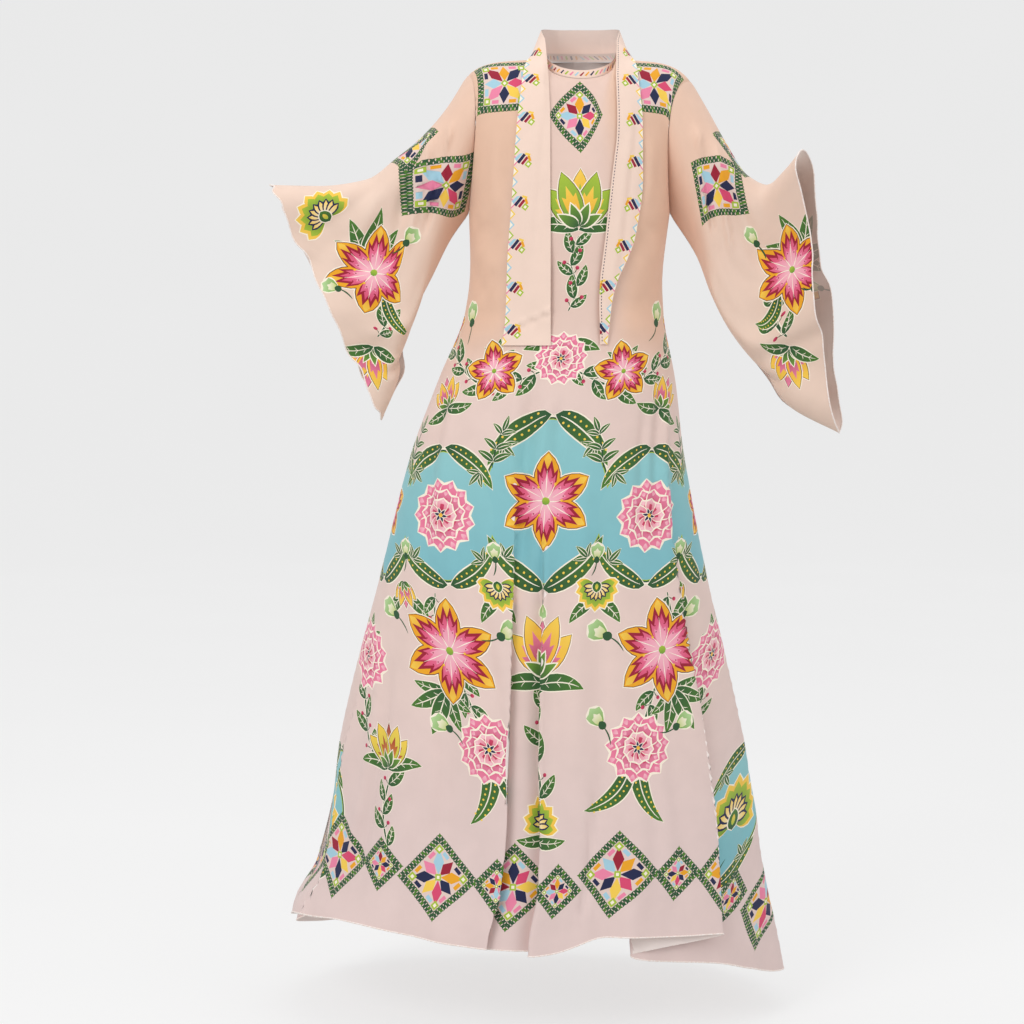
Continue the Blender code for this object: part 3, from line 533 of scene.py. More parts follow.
RIPPLES = {
    "front": [
        Ripple(-64, -520, -60, -700, 8, 3.0),
        Ripple(-36, -500, -38, -860, 9, -8.5),
        Ripple(-10, -520, -12, -840, 9, 6.0),
        Ripple(12, -530, 12, -760, 8, -3.5),
        Ripple(178, -500, 192, -790, 6, -5.0),
        Ripple(196, -500, 216, -780, 6, 4.5),
        Ripple(152, -540, 166, -800, 7, -4.0),
        Ripple(-190, -520, -216, -840, 8, -4.5),
        Ripple(-168, -520, -188, -800, 8, 4.0),
        Ripple(60, -620, 78, -1180, 12, 5.0),
        Ripple(100, -700, 128, -1260, 12, -4.5),
        Ripple(108, -1150, 90, -1400, 7, -5.0),
        Ripple(-150, -640, -196, -1250, 13, 5.0),
        Ripple(-210, -760, -262, -1320, 12, -5.0),
        Ripple(-120, -700, -150, -1200, 9, -4.0),
        Ripple(-318, -950, -425, -1330, 9, -6.0),
        Ripple(-342, -930, -452, -1330, 8, 4.5),
        Ripple(20, -760, 34, -1320, 10, -4.5),
        Ripple(190, -900, 240, -1380, 12, 5.0),
        Ripple(300, -860, 372, -1400, 13, -5.0),
        Ripple(-196, -262, -96, -300, 9, -3.5),
        Ripple(-190, -300, -100, -352, 10, 3.0),
        Ripple(-186, -340, -120, -400, 8, -2.5),
        Ripple(196, -262, 100, -296, 9, -3.5),
        Ripple(186, -300, 104, -348, 10, 3.0),
        Ripple(190, -350, 118, -396, 8, -2.5),
        Ripple(-150, -120, -120, -262, 9, 3.0),
        Ripple(-128, -130, -92, -250, 8, -2.2),
        Ripple(158, -120, 126, -256, 9, 3.0),
        Ripple(134, -130, 98, -246, 8, -2.2),
        Ripple(-170, -420, -60, -396, 7, -2.4),
        Ripple(170, -410, 52, -392, 7, -2.4),
        Ripple(-180, -452, -70, -440, 8, 2.2),
        Ripple(180, -446, 80, -436, 8, 2.0),
        Ripple(-190, -482, -90, -476, 8, -2.2),
        Ripple(-30, -300, -34, -480, 10, -2.6),
        Ripple(44, -310, 40, -500, 10, 2.2),
        *flutes(-640, 760, 15, -1200, -1900, 7.0, 0.6),
    ],
    "back": [
        Ripple(-60, -560, -84, -1240, 12, 5.0),
        Ripple(-24, -600, -40, -1180, 10, -3.5),
        Ripple(70, -560, 96, -1240, 12, -5.0),
        Ripple(30, -590, 44, -1100, 10, 3.0),
        Ripple(150, -640, 210, -1300, 13, 5.5),
        Ripple(-160, -640, -216, -1300, 13, -5.5),
        Ripple(-250, -800, -330, -1380, 14, 5.0),
        Ripple(260, -800, 330, -1380, 14, -5.0),
        Ripple(-150, -400, -40, -380, 8, -2.8),
        Ripple(150, -404, 40, -384, 8, -2.8),
        Ripple(-140, -440, -50, -430, 8, 2.4),
        Ripple(140, -440, 50, -432, 8, 2.4),
        Ripple(-150, -476, -60, -470, 8, -2.2),
        Ripple(150, -474, 56, -472, 8, -2.2),
        Ripple(-176, -250, -90, -300, 10, -3.5),
        Ripple(176, -250, 90, -300, 10, -3.5),
        Ripple(-172, -290, -84, -344, 9, 2.6),
        Ripple(172, -290, 84, -344, 9, 2.6),
        Ripple(-150, -90, -120, -230, 10, 3.0),
        Ripple(150, -90, 120, -230, 10, 3.0),
        *flutes(-680, 660, 15, -1180, -1900, 7.0, 2.1),
    ],
    "sleeve_left": [
        Ripple(-60, 60, -170, 150, 8.3, 8.5),
        Ripple(-84, 70, -190, 196, 7.4, -7.6),
        Ripple(-30, 96, -186, 240, 8.3, 6.8),
        Ripple(-40, 130, -190, 300, 10.1, -7.6),
        Ripple(-20, 200, -120, 380, 9.2, -6.8),
        Ripple(-50, 230, -210, 400, 9.2, 6.8),
        Ripple(-250, 150, -300, 390, 11.0, 6.8),
        Ripple(-330, 200, -372, 400, 8.3, -7.6),
        Ripple(70, 60, 180, 180, 9.2, 7.6),
        Ripple(90, 90, 190, 240, 8.3, -6.8),
        Ripple(60, 150, 200, 360, 11.0, 6.8),
        Ripple(260, 160, 320, 390, 11.0, -6.8),
        *flutes(-400, 400, 13, 250, 620, 8.0, 1.2),
    ],
    "sleeve_right": [
        Ripple(60, 60, 170, 150, 8.3, 8.5),
        Ripple(84, 70, 190, 196, 7.4, -7.6),
        Ripple(40, 100, 180, 250, 8.3, 6.8),
        Ripple(40, 150, 180, 330, 10.1, -7.6),
        Ripple(250, 150, 300, 400, 11.0, 6.8),
        Ripple(320, 200, 372, 420, 9.2, -6.8),
        Ripple(-70, 60, -180, 180, 9.2, 7.6),
        Ripple(-90, 90, -190, 240, 8.3, -6.8),
        Ripple(-60, 150, -200, 360, 11.0, 6.8),
        Ripple(-260, 160, -320, 390, 11.0, -6.8),
        *flutes(-420, 420, 13, 250, 640, 7.0, 2.9),
    ],
}

CHART_STEP = 2.0  # mm between the places at which a chart's inverse is kept
INVERSE_ROUNDS = 9  # steps from a flat place towards its place in the chart's grid
OFF_THE_CLOTH = 30.0  # mm by which a motif's middle may lie beside the cloth it goes on
FADE = 4.0  # a ripple grows to its full height over a quarter of its length from each end

# A cloth form on a fine grid: its points and outward ways, its flat coordinates, and tables that lead
# from a flat place back to a place in the grid.
Chart = namedtuple("Chart", "points ways across up spots_u spots_v first_of second_of")


def ripple_height(ripples, across, up):
    height = np.zeros_like(across)
    for ripple in ripples:
        way = np.array([ripple.u1 - ripple.u0, ripple.v1 - ripple.v0])
        length = np.hypot(*way)
        along = ((across - ripple.u0) * way[0] + (up - ripple.v0) * way[1]) / length**2
        aside = ((across - ripple.u0) * way[1] - (up - ripple.v0) * way[0]) / length
        fade = ease(along * FADE) * ease((1 - along) * FADE)
        height += ripple.lift * fade * np.exp(-((aside / ripple.width) ** 2) / 2)
    return height


def make_chart(points, zero, seams, ripples=(), level_row=None):
    """A cloth form on a fine grid, with its flat coordinates across and up and their inverse."""
    sides = np.linalg.norm(np.diff(points, axis=0), axis=-1) * MM
    across = np.concatenate([np.zeros((1, points.shape[1])), np.cumsum(sides, axis=0)])
    across = across - across[zero]
    steps = np.linalg.norm(np.diff(points, axis=1), axis=-1) * MM
    start = 0.0
    if level_row is not None:
        steps[:, :level_row] = np.diff(points[..., 2], axis=1)[:, :level_row] * MM
        start = points[:, :1, 2] * MM
    up = start + np.concatenate([np.zeros((len(points), 1)), np.cumsum(steps, axis=1)], axis=1)
    height = ripple_height(ripples, across, up)
    away = {
        "first": across - across[:1],
        "last": across[-1:] - across,
        "bottom": up - up[:, :1],
        "top": up[:, -1:] - up,
    }
    for seam in seams:
        height = height - WELT_DIP * np.exp(-((away[seam] / WELT_WIDTH) ** 2) / 2)
    points = points + normals_of(points) * height[..., None] / MM
    spots_u = np.arange(across.min(), across.max() + CHART_STEP, CHART_STEP)
    spots_v = np.arange(up.min(), up.max() + CHART_STEP, CHART_STEP)
    count, rows = across.shape
    first_of = [np.interp(spots_u, across[:, j], np.arange(count)) for j in range(rows)]
    second_of = [np.interp(spots_v, up[i], np.arange(rows)) for i in range(count)]
    return Chart(
        points, normals_of(points), across, up, spots_u, spots_v,
        np.stack(first_of, axis=1), np.stack(second_of, axis=0),
    )


def look_up(table, i, j):
    """Values between the places of a table."""
    i = np.clip(i, 0, table.shape[0] - 1)
    j = np.clip(j, 0, table.shape[1] - 1)
    i0 = np.minimum(i.astype(int), table.shape[0] - 2)
    j0 = np.minimum(j.astype(int), table.shape[1] - 2)
    s, t = i - i0, j - j0
    if table.ndim == 3:
        s, t = s[:, None], t[:, None]
    low = table[i0, j0] * (1 - s) + table[i0 + 1, j0] * s
    high = table[i0, j0 + 1] * (1 - s) + table[i0 + 1, j0 + 1] * s
    return low * (1 - t) + high * t


def grid_places(chart, flat):
    """Where flat points lie in the chart's grid."""
    flat = np.atleast_2d(flat)
    u = (flat[:, 0] - chart.spots_u[0]) / CHART_STEP
    v = (flat[:, 1] - chart.spots_v[0]) / CHART_STEP
    j = look_up(chart.second_of, np.full(len(flat), chart.across.shape[0] / 2), v)
    for _ in range(INVERSE_ROUNDS):
        i = look_up(chart.first_of, u, j)
        j = look_up(chart.second_of, i, v)
    return i, j


def spot(chart, x, z, facing=-1):
    """The flat place of the cloth seen at x and z, in mm, from the front (-1) or from behind (1).

    It is None where this piece of cloth isn't seen.
    """
    near = chart.points[::2, ::2]
    cost = (near[..., 0] * MM - x) ** 2 + (near[..., 2] * MM - z) ** 2
    cost = cost + np.where(chart.ways[::2, ::2, 1] * facing < 0, 1e6, 0)
    i, j = np.unravel_index(np.argmin(cost), cost.shape)
    if cost[i, j] > OFF_THE_CLOTH**2:
        return None
    return np.array([chart.across[2 * i, 2 * j], chart.up[2 * i, 2 * j]])


def upright_frame(chart, flat, facing=None):
    """Turns lengths to the right and upwards, at a flat place, into flat lengths.

    They are lengths on the cloth, or with a facing, as seen from that side.
    """
    around = np.array(flat) + np.array([[-8, 0], [8, 0], [0, -8], [0, 8]])
    i, j = grid_places(chart, around)
    west, east, south, north = look_up(chart.points, i, j) * MM
    across, up = look_up(chart.across, i, j), look_up(chart.up, i, j)
    along_u, along_v = (east - west) / (across[1] - across[0]), (north - south) / (up[3] - up[2])
    way = unit(np.cross(along_u, along_v))
    rise = unit(np.array([0, 0, 1.0]) - way * way[2])
    right = np.cross(rise, way)
    if facing is not None:
        right, rise = np.array([-facing, 0, 0]), np.array([0, 0, 1.0])
    slopes = np.array([[along_u @ right, along_v @ right], [along_u @ rise, along_v @ rise]])
    return np.linalg.inv(slopes)


# ------------------------------------------------------------------ colours

def linear(code):
    """Linear red, green and blue of an sRGB hex colour."""
    parts = np.array([int(code[k : k + 2], 16) / 255 for k in (0, 2, 4)])
    return np.where(parts <= 0.04045, parts / 12.92, ((parts + 0.055) / 1.055) ** 2.4)


# The bodice tan: skin seen through the sheer cloth, and painted shade where the bodice sides turn away from
# the light.
BLUSH, TAN_AND_SIDE_SHADE, COOL_BLUSH = linear("E6CDC4"), linear("E6BFA6"), linear("E4CDC8")
PALE_BLUSH, SHOULDER_BLUSH = linear("F2D7C7"), linear("EAC6B0")
WARM_BLUSH, REVERSE = linear("EBD0BF"), linear("F6E8E2")
CREAM, PINE, LEAF = linear("FBF0DC"), linear("2C5433"), linear("4C7A2C")
MOSS, LIME, PALE_GREEN = linear("6F9A35"), linear("A9C23C"), linear("B7D89B")
AMBER, GOLD, CRIMSON = linear("EDA51E"), linear("F7CE52"), linear("9C1A34")
ROSE, PINK, SHELL = linear("D9486F"), linear("EE86A6"), linear("F8C3CB")
TURQUOISE, SEA, SKY = linear("8FC6C9"), linear("7DBAC4"), linear("A6CFDF")
NAVY = linear("20264A")
UMBER = linear("5B2B1E")
REVERSE_SHARE = 0.55  # how far the print fades on the back of the cloth


# ------------------------------------------------------------------ print

# A patch of dye: its outline, the colours at its near and far end, and where those ends are.
Patch = namedtuple("Patch", "outline near far start end")


def twice_area(outline):
    """Twice the area in an outline, above zero when it runs counter-clockwise."""
    x, y = outline.T
    return (x * np.roll(y, -1) - y * np.roll(x, -1)).sum()


def patch(outline, near, far=None, start=(0, 0), end=(0, 1)):
    outline = np.array(outline, float)
    if twice_area(outline) < 0:
        outline = outline[::-1]
    far = near if far is None else far
    return Patch(outline, near, far, np.array(start, float), np.array(end, float))


def moved(patches, turn=0.0, size=1.0, by=(0, 0), mirror=False, upright=None):
    """Patches mirrored, scaled, turned (degrees, counter-clockwise) and shifted."""
    c, s = math.cos(math.radians(turn)), math.sin(math.radians(turn))
    change = np.array([[c, -s], [s, c]]) * size
    if mirror:
        change = change @ np.array([[-1, 0], [0, 1]])
    if upright is not None:
        change = upright @ change
    by = np.array(by, float)
    result = []
    for one in patches:
        outline = one.outline @ change.T + by
        if mirror:
            outline = outline[::-1]
        start, end = change @ one.start + by, change @ one.end + by
        result.append(Patch(outline, one.near, one.far, start, end))
    return result


def ring_of(parts, count, start=0.0):
    return [one for k in range(count) for one in moved(parts, start + 360 * k / count)]


def petal(length, width, near, far=None, belly=0.7, blunt=0.8, base=0.0, count=7):
    """A petal along +y. belly below 1 puts its widest place low, blunt below 1 rounds it."""
    t = np.linspace(0, 1, count + 1)
    half = width / 2 * np.abs(np.sin(np.pi * t**belly)) ** blunt
    y = base + length * t
    right = np.stack([half, y], axis=1)
    left = np.stack([-half[1:-1], y[1:-1]], axis=1)[::-1]
    return patch(np.concatenate([right, left]), near, far, (0, base), (0, base + length))


def flame(length, width, prongs, near, far=None, base=0.0, notch=0.74):
    """A patch along +y that ends in prongs, as dye is drawn out towards a petal's tip."""
    outline = [(0, base), (width * 0.26, base + length * 0.2), (width * 0.46, base + length * 0.48)]
    steps = 2 * prongs - 1
    for k in range(steps):
        aside = 0.5 - k / (steps - 1) if steps > 1 else 0.0
        reach = 1 - 0.9 * aside * aside
        if k % 2:
            reach *= notch
        outline.append((width * aside, base + length * reach))
    outline += [(-width * 0.46, base + length * 0.48), (-width * 0.26, base + length * 0.2)]
    return patch(outline, near, far, (0, base), (0, base + length))


def disc(radius, near, far=None, count=12, x=0.0, y=0.0):
    turn = np.linspace(0, 2 * np.pi, count, endpoint=False)
    ring = np.stack([x + radius * np.cos(turn), y + radius * np.sin(turn)], axis=1)
    return patch(ring, near, far, (x, y - radius), (x, y + radius))


def stroke(path, width, near, far=None, taper=0.25):
    """A line of dye along a path; taper is its width at both ends, as a share."""
    path = np.array(path, float)
    way = unit(np.gradient(path, axis=0))
    aside = np.stack([-way[:, 1], way[:, 0]], axis=1)
    t = np.linspace(0, 1, len(path))
    half = width / 2 * (taper + (1 - taper) * np.sin(np.pi * t) ** 0.6)
    outline = np.concatenate([path + aside * half[:, None], (path - aside * half[:, None])[::-1]])
    return patch(outline, near, far, path[0], path[-1])


def arc(length, bend, count=8):
    """A path from the origin along +y that turns by bend degrees to the left."""
    turn = np.radians(bend) * np.linspace(0, 1, count + 1)
    step = length / count
    x = np.concatenate([[0], np.cumsum(-np.sin(turn[:-1]) * step)])
    y = np.concatenate([[0], np.cumsum(np.cos(turn[:-1]) * step)])
    return np.stack([x, y], axis=1)


def lean_of(way):
    """How far a direction leans to the left of +y, in degrees."""
    return math.degrees(math.atan2(-way[0], way[1]))


def blade(path, width, near=PINE, far=LEAF, halo=1.8, ribs=False, dots=False):
    """A leaf along a path, with its veins left undyed or spots along them."""
    path = np.asarray(path, float)
    count = len(path) - 1
    way = unit(np.gradient(path, axis=0))
    aside = np.stack([-way[:, 1], way[:, 0]], axis=1)
    swell = np.abs(np.sin(np.pi * np.linspace(0, 1, count + 1) ** 0.8)) ** 0.8
    swell[[0, -1]] = 0
    parts = []
    for grow, first, last in ((halo, CREAM, CREAM), (0.0, near, far)):
        half = ((width / 2 + grow) * swell)[:, None]
        ends = path.copy()
        ends[-1] += way[-1] * grow
        ends[0] -= way[0] * grow
        right, left = ends - aside * half, (ends + aside * half)[-2:0:-1]
        parts.append(patch(np.concatenate([right, left]), first, last, path[0], path[-1]))
    parts.append(stroke(path[1:-1], max(1.2, width * 0.07), CREAM))
    for k in range(2, count - 1, 2 if ribs else 1):
        for side in (-1, 1):
            if ribs:
                tip = path[k] + aside[k] * side * width * 0.3 + way[k] * width * 0.26
                parts.append(stroke([path[k], (path[k] + tip) / 2 + way[k] * 0.8, tip], 1.1, CREAM))
            elif dots:
                x, y = path[k] + aside[k] * side * width * 0.24
                parts.append(disc(width * 0.065, GOLD, None, 5, x, y))
    return parts


def leaf(length, width, bend=30, **more):
    return blade(arc(length, bend, 9), width, **more)


def long_leaf(length, width, bend=110):
    """A broad leaf that curls at its end, spotted along its vein."""
    return blade(arc(length, bend, 14), width, halo=2.0, dots=True)


def leaf_pair(length, width, bend, apart=48, **more):
    left = moved(leaf(length, width, bend, **more), apart)
    return left + moved(leaf(length, width, -bend, **more), -apart)


def star_flower(radius, petals=6, turn=0.0):
    """An open flower: amber tips, crimson flames over them and a pink heart with spots."""
    wide = radius * 3.3 / petals
    one = [
        petal(radius + 2.4, wide + 4.5, CREAM, belly=0.95, blunt=0.7),
        petal(radius + 0.6, wide + 1.2, UMBER, belly=0.95, blunt=0.74),
        petal(radius - 0.6, wide - 1.2, AMBER, belly=0.95, blunt=0.74),
        petal(radius * 0.36, wide * 0.34, AMBER, GOLD, 0.8, 0.8, base=radius * 0.6),
        flame(radius * 0.86, wide * 0.82, 4, CRIMSON),
        flame(radius * 0.7, wide * 0.66, 4, PINK, ROSE),
        flame(radius * 0.54, wide * 0.44, 3, SHELL, PINK),
        stroke([(0, radius * 0.16), (0, radius * 0.4), (0, radius * 0.62)], 1.5, CREAM),
    ]
    for aside, along in ((-0.09, 0.36), (0.09, 0.36), (-0.1, 0.48), (0.1, 0.48)):
        one.append(disc(1.3, CRIMSON, None, 5, aside * radius, along * radius))
    layers = [ring_of([layer], petals) for layer in one]
    parts = [piece for layer in layers for piece in layer]
    for k in range(6):
        stem = arc(radius * (0.4 if k % 2 else 0.33), 14, 3)
        parts += moved([stroke(stem, 1.7, CREAM), disc(2.3, GOLD, AMBER, 6, *stem[-1])], 60 * k + 28)
    return moved(parts + [disc(radius * 0.08, MOSS, LIME, 8)], turn)


def dahlia(radius, petals=13):
    """A full round flower: rings of fringed pink petals, each edged in cream and streaked crimson."""
    parts = [disc(radius * 0.8, CREAM, None, 16)]
    for ring, (reach, share, near, far) in enumerate(
        ((1.0, 1.0, ROSE, PINK), (0.72, 0.85, CRIMSON, PINK), (0.46, 0.7, ROSE, SHELL))
    ):
        count = round(petals * share)
        long, wide = radius * reach, radius * reach * 6.4 / count
        one = [
            petal(long + 1.8, wide + 3.2, CREAM, belly=1.5, blunt=0.5, count=6),
            flame(long, wide, 3, near, far, notch=0.9),
            flame(long * 0.86, wide * 0.36, 2, CRIMSON, ROSE, notch=0.8),
            flame(long * 0.2, wide * 0.3, 2, SHELL, far, base=long * 0.76),
        ]
        parts += ring_of(one, count, 11 * ring)
    heart = [
        petal(radius * 0.22, radius * 0.12, CREAM, count=5),
        petal(radius * 0.2, radius * 0.08, NAVY, count=4),
    ]
    return parts + ring_of(heart, 6, 10) + [disc(radius * 0.06, GOLD, AMBER, 8)]


def fan_flower(radius, lobes=9, open_to=200.0):
    """Half a daisy of amber and lime lobes round a striped cup, opening upwards."""
    turns = [open_to * (k / (lobes - 1) - 0.5) for k in range(lobes)]
    parts = []
    for grow, near, far, share in ((2.0, CREAM, CREAM, 1.0), (0, AMBER, GOLD, 1.0), (0, LEAF, LIME, 0.84)):
        for turn in turns:
            reach = radius * share * (1 - 0.1 * abs(turn) / 90)
            width = radius * 0.4 * share + 1.8 * grow
            parts += moved([petal(reach + grow, width, near, far, 1.5, 0.55, count=6)], -turn)
    cup = [
        petal(radius * 0.6, radius * 0.24, NAVY, None, 1.4, 0.6, count=5),
        petal(radius * 0.54, radius * 0.14, CREAM, GOLD, 1.4, 0.7, count=5),
    ]
    for turn in turns:
        parts += moved(cup, -turn * 0.9)
    return parts + [
        petal(radius * 0.5, radius * 0.46, CREAM, None, 0.9, 0.6, base=-radius * 0.22),
        petal(radius * 0.45, radius * 0.38, PINE, LEAF, 0.9, 0.6, base=-radius * 0.2),
        petal(radius * 0.24, radius * 0.14, LIME, GOLD, 0.9, 0.6, base=-radius * 0.1),
    ]


def tulip(radius, outer=(AMBER, GOLD), inner=(CRIMSON, PINK)):
    """A cup flower from the side, its outer petals turned out."""
    parts = []
    for lean, colours, streak in ((-42, outer, inner), (42, outer, inner), (0, inner, outer),
                                  (-20, outer, inner), (20, outer, inner)):
        tall = radius * (1.0 if abs(lean) > 30 else 1.15)
        one = [
            petal(tall + 2.2, radius * 0.46 + 4, CREAM, belly=0.85, blunt=0.8),
            petal(tall + 0.4, radius * 0.46 + 0.8, UMBER, belly=0.85, blunt=0.85),
            petal(tall - 0.8, radius * 0.46 - 1.4, *colours, belly=0.85, blunt=0.85),
            flame(tall * 0.74, radius * 0.3, 3, streak[0], streak[1]),
            flame(tall * 0.5, radius * 0.16, 2, SHELL, streak[1]),
        ]
        parts += moved(one, lean)
    for lean in (-62, -22, 22, 62):
        cup = [petal(radius * 0.52, radius * 0.26, CREAM, None, 0.7, 0.9)]
        parts += moved(cup + [petal(radius * 0.48, radius * 0.2, PINE, MOSS, 0.7, 0.9)], lean)
    return parts


def bud(length):
    """A closed bud in pale green, with its cup and a short stem below it."""
    parts = [stroke(arc(length * 0.9, 40, 6) * (1, -1), 2.4, PINE)]
    parts += [petal(length + 2, length * 0.8 + 4, CREAM, belly=1.3, blunt=0.6)]
    parts += [flame(length, length * 0.8, 3, MOSS, PALE_GREEN, notch=0.88)]
    parts += [flame(length * 0.7, length * 0.44, 3, LIME, CREAM, notch=0.85)]
    return parts + [petal(length * 0.42, length * 0.36, PINE, None, 0.9, 0.6, base=-length * 0.16)]


def spray(length, bend=40, pairs=4, size=34):
    """A stem with leaves on both sides that get smaller towards its end."""
    path = arc(length, bend, 12)
    way = unit(np.gradient(path, axis=0))
    parts = [stroke(path, 3.0, PINE)]
    for k in range(pairs):
        at = 2 + int(k * 9 / max(pairs - 1, 1))
        long = size * (1 - 0.4 * k / pairs)
        parts += moved(leaf_pair(long, long * 0.34, 30, 50, halo=1.2), lean_of(way[at]), by=path[at])
    return parts + moved(leaf(size * 0.8, size * 0.28, 12, halo=1.2), lean_of(way[-1]), by=path[-1])


def leaf_fan(size):
    """Five leaves from one place, the middle one the longest."""
    parts = []
    for lean, share in ((66, 0.66), (-62, 0.7), (36, 0.86), (-32, 0.9), (2, 1.0)):
        parts += moved(leaf(size * share, size * share * 0.34, lean * 0.5, halo=1.6, ribs=True), lean)
    return parts


def stitch(x, y, reach, colour=PINE):
    """One cross stitch: a four-pointed star."""
    turn = np.radians(45 * np.arange(8) + 45)
    radius = np.where(np.arange(8) % 2 == 0, reach, reach * 0.5)
    return patch(np.stack([x + radius * np.cos(turn), y + radius * np.sin(turn)], axis=1), colour)


def bar(x, y, width, height, colour, turn=0.0):
    corners = np.array([[-1, -1], [1, -1], [1, 1], [-1, 1]]) * (width / 2, height / 2)
    return moved([patch(corners, colour)], turn, by=(x, y))[0]


def box(x, y, size, colour, heart=CREAM):
    return [bar(x, y, size, size, colour), bar(x, y, size * 0.46, size * 0.46, heart)]


STITCH_PITCH = 6.6  # mm between cross stitches
CHAIN_PITCH, CHAIN_HALVES, CHAIN_ABOVE = 100.0, (64, 38), 96.0  # mm, of the diamonds along the hem
STAR_COLOURS = (NAVY, AMBER, CRIMSON, SKY, PINK, NAVY, GOLD, ROSE)


def star_square(half, shift=0):
    """A square of two rows of cross stitches round an eight-pointed star, sides along x and y."""
    parts = [patch([(-half, -half), (half, -half), (half, half), (-half, half)], BLUSH)]
    count = max(4, round(2 * half / STITCH_PITCH))
    pitch = 2 * half / count
    for row in (0, 1):
        edge = half - 0.8 * row * pitch
        for k, at in enumerate(np.linspace(-edge, edge, count + 1 - row)[:-1]):
            for x, y in ((at, -edge), (edge, at), (-at, edge), (-edge, -at)):
                parts.append(stitch(x, y, pitch * 0.72, PINE if (k + row) % 3 else LEAF))
    inner = half - 1.36 * pitch
    colours = STAR_COLOURS[shift:] + STAR_COLOURS[:shift]
    for k in range(8):
        reach = inner * (1.2 if k % 2 else 0.98)
        wide = inner * 0.25
        rhomb = [(0, inner * 0.12), (wide, reach * 0.54), (0, reach), (-wide, reach * 0.54)]
        parts += moved([patch(rhomb, colours[k])], 45 * k)
    for quarter in range(4):
        lying, standing = ((PINK, SKY), (NAVY, AMBER))[quarter % 2]
        corner = box(inner * 0.84, inner * 0.84, inner * 0.3, LIME)
        corner += [bar(inner * 0.42, inner * 0.88, inner * 0.34, inner * 0.17, lying)]
        corner += [bar(inner * 0.88, inner * 0.42, inner * 0.17, inner * 0.34, standing)]
        parts += moved(corner, 90 * quarter)
    return parts + moved(box(0, 0, inner * 0.28, LIME), 45)


def diamond(half, shift=0):
    return moved(star_square(half / math.sqrt(2), shift), 45)


POOL_EDGES = ((4.5, CREAM, CREAM), (2.0, PINE, PINE), (-0.8, LIME, LIME), (-2.2, SEA, TURQUOISE))


def pool_edge(width, height, turn, grow):
    """The outline of a medallion with a soft point at top and bottom, at these angles in degrees."""
    turn = np.radians(turn)
    point = np.abs(np.sin(turn)) ** 8
    x = (width / 2 + grow) * np.cos(turn) * (1 - 0.2 * point)
    y = (height / 2 + grow) * np.sin(turn) * (0.92 + 0.08 * point)
    return np.stack([x, y], axis=1)


def pools(medallions):
    """Turquoise medallions that run into each other, wreathed above and below in broad leaves."""
    parts = []
    for grow, near, far in POOL_EDGES:
        for u, v, width, height in medallions:
            outline = pool_edge(width, height, np.arange(0, 360, 5), grow)
            parts += moved([patch(outline, near, far, (0, -height / 2), (0, height / 2))], by=(u, v))
    for u, v, width, height in medallions:
        wreath = []
        for first, last in ((88, 26), (92, 154), (272, 334), (268, 206)):
            edge = pool_edge(width, height, np.linspace(first, last, 12), 6)
            wreath += blade(edge, height * 0.13, halo=2.2, dots=True)
        for lean in (-135, -45, 45, 135):
            sprig = leaf_pair(24, 8, 24, 44, halo=1.0) + leaf(27, 9, 8, halo=1.0)
            place = (-width * 0.36 * np.sign(lean), height * 0.34 * (1 if abs(lean) < 90 else -1))
            wreath += moved(sprig, lean + 180, by=place)
        parts += moved(wreath, by=(u, v))
    return parts


def smooth_path(places, gap):
    """A smooth flat path through places, with points at about this gap."""
    places = np.array(places, float)
    t = np.arange(len(places))
    at = np.linspace(0, len(places) - 1, 61)
    line = np.stack([through(t, places[:, 0], at), through(t, places[:, 1], at)], axis=1)
    steps = np.concatenate([[0], np.cumsum(np.hypot(*np.diff(line, axis=0).T))])
    evenly = np.linspace(0, steps[-1], max(4, round(steps[-1] / gap)) + 1)
    return np.stack([np.interp(evenly, steps, line[:, 0]), np.interp(evenly, steps, line[:, 1])], axis=1)


def garland(places, size=36, gap=26.0):
    """A stem through flat places with leaves set on it in turn, and berries."""
    line = smooth_path(places, 7.0)
    parts = [stroke(line, 6.4, CREAM, None, taper=0.5), stroke(line, 3.6, PINE, None, taper=0.5)]
    count = max(2, round(7.0 * len(line) / gap))
    for k in range(count):
        at = int((k + 0.5) * (len(line) - 1) / count)
        lean = lean_of(line[min(at + 1, len(line) - 1)] - line[max(at - 1, 0)])
        side = 1 if k % 2 else -1
        long = size * (0.85 + 0.3 * ((k * 5) % 7) / 7)
        one = leaf(long, long * 0.42, -side * 30, halo=1.5, ribs=True)
        parts += moved(one, lean + side * 42, by=line[at])
        berry = [stroke([(0, 0), (1, 6), (0, 11)], 1.6, PINE), disc(3.4, CRIMSON, ROSE, 7, 0, 12)]
        parts += moved(berry, lean - side * 55, by=line[at])
    return parts


def put(chart, patches, x, z, turn=0.0, facing=-1, seen=False):
    """Patches at the place of the cloth that is seen at x and z, in mm.

    With seen they keep their shape as seen from that side, and otherwise as they lie on the cloth.
    """
    flat = spot(chart, x, z, facing)
    if flat is None:
        return []
    return moved(patches, turn, by=flat, upright=upright_frame(chart, flat, facing if seen else None))


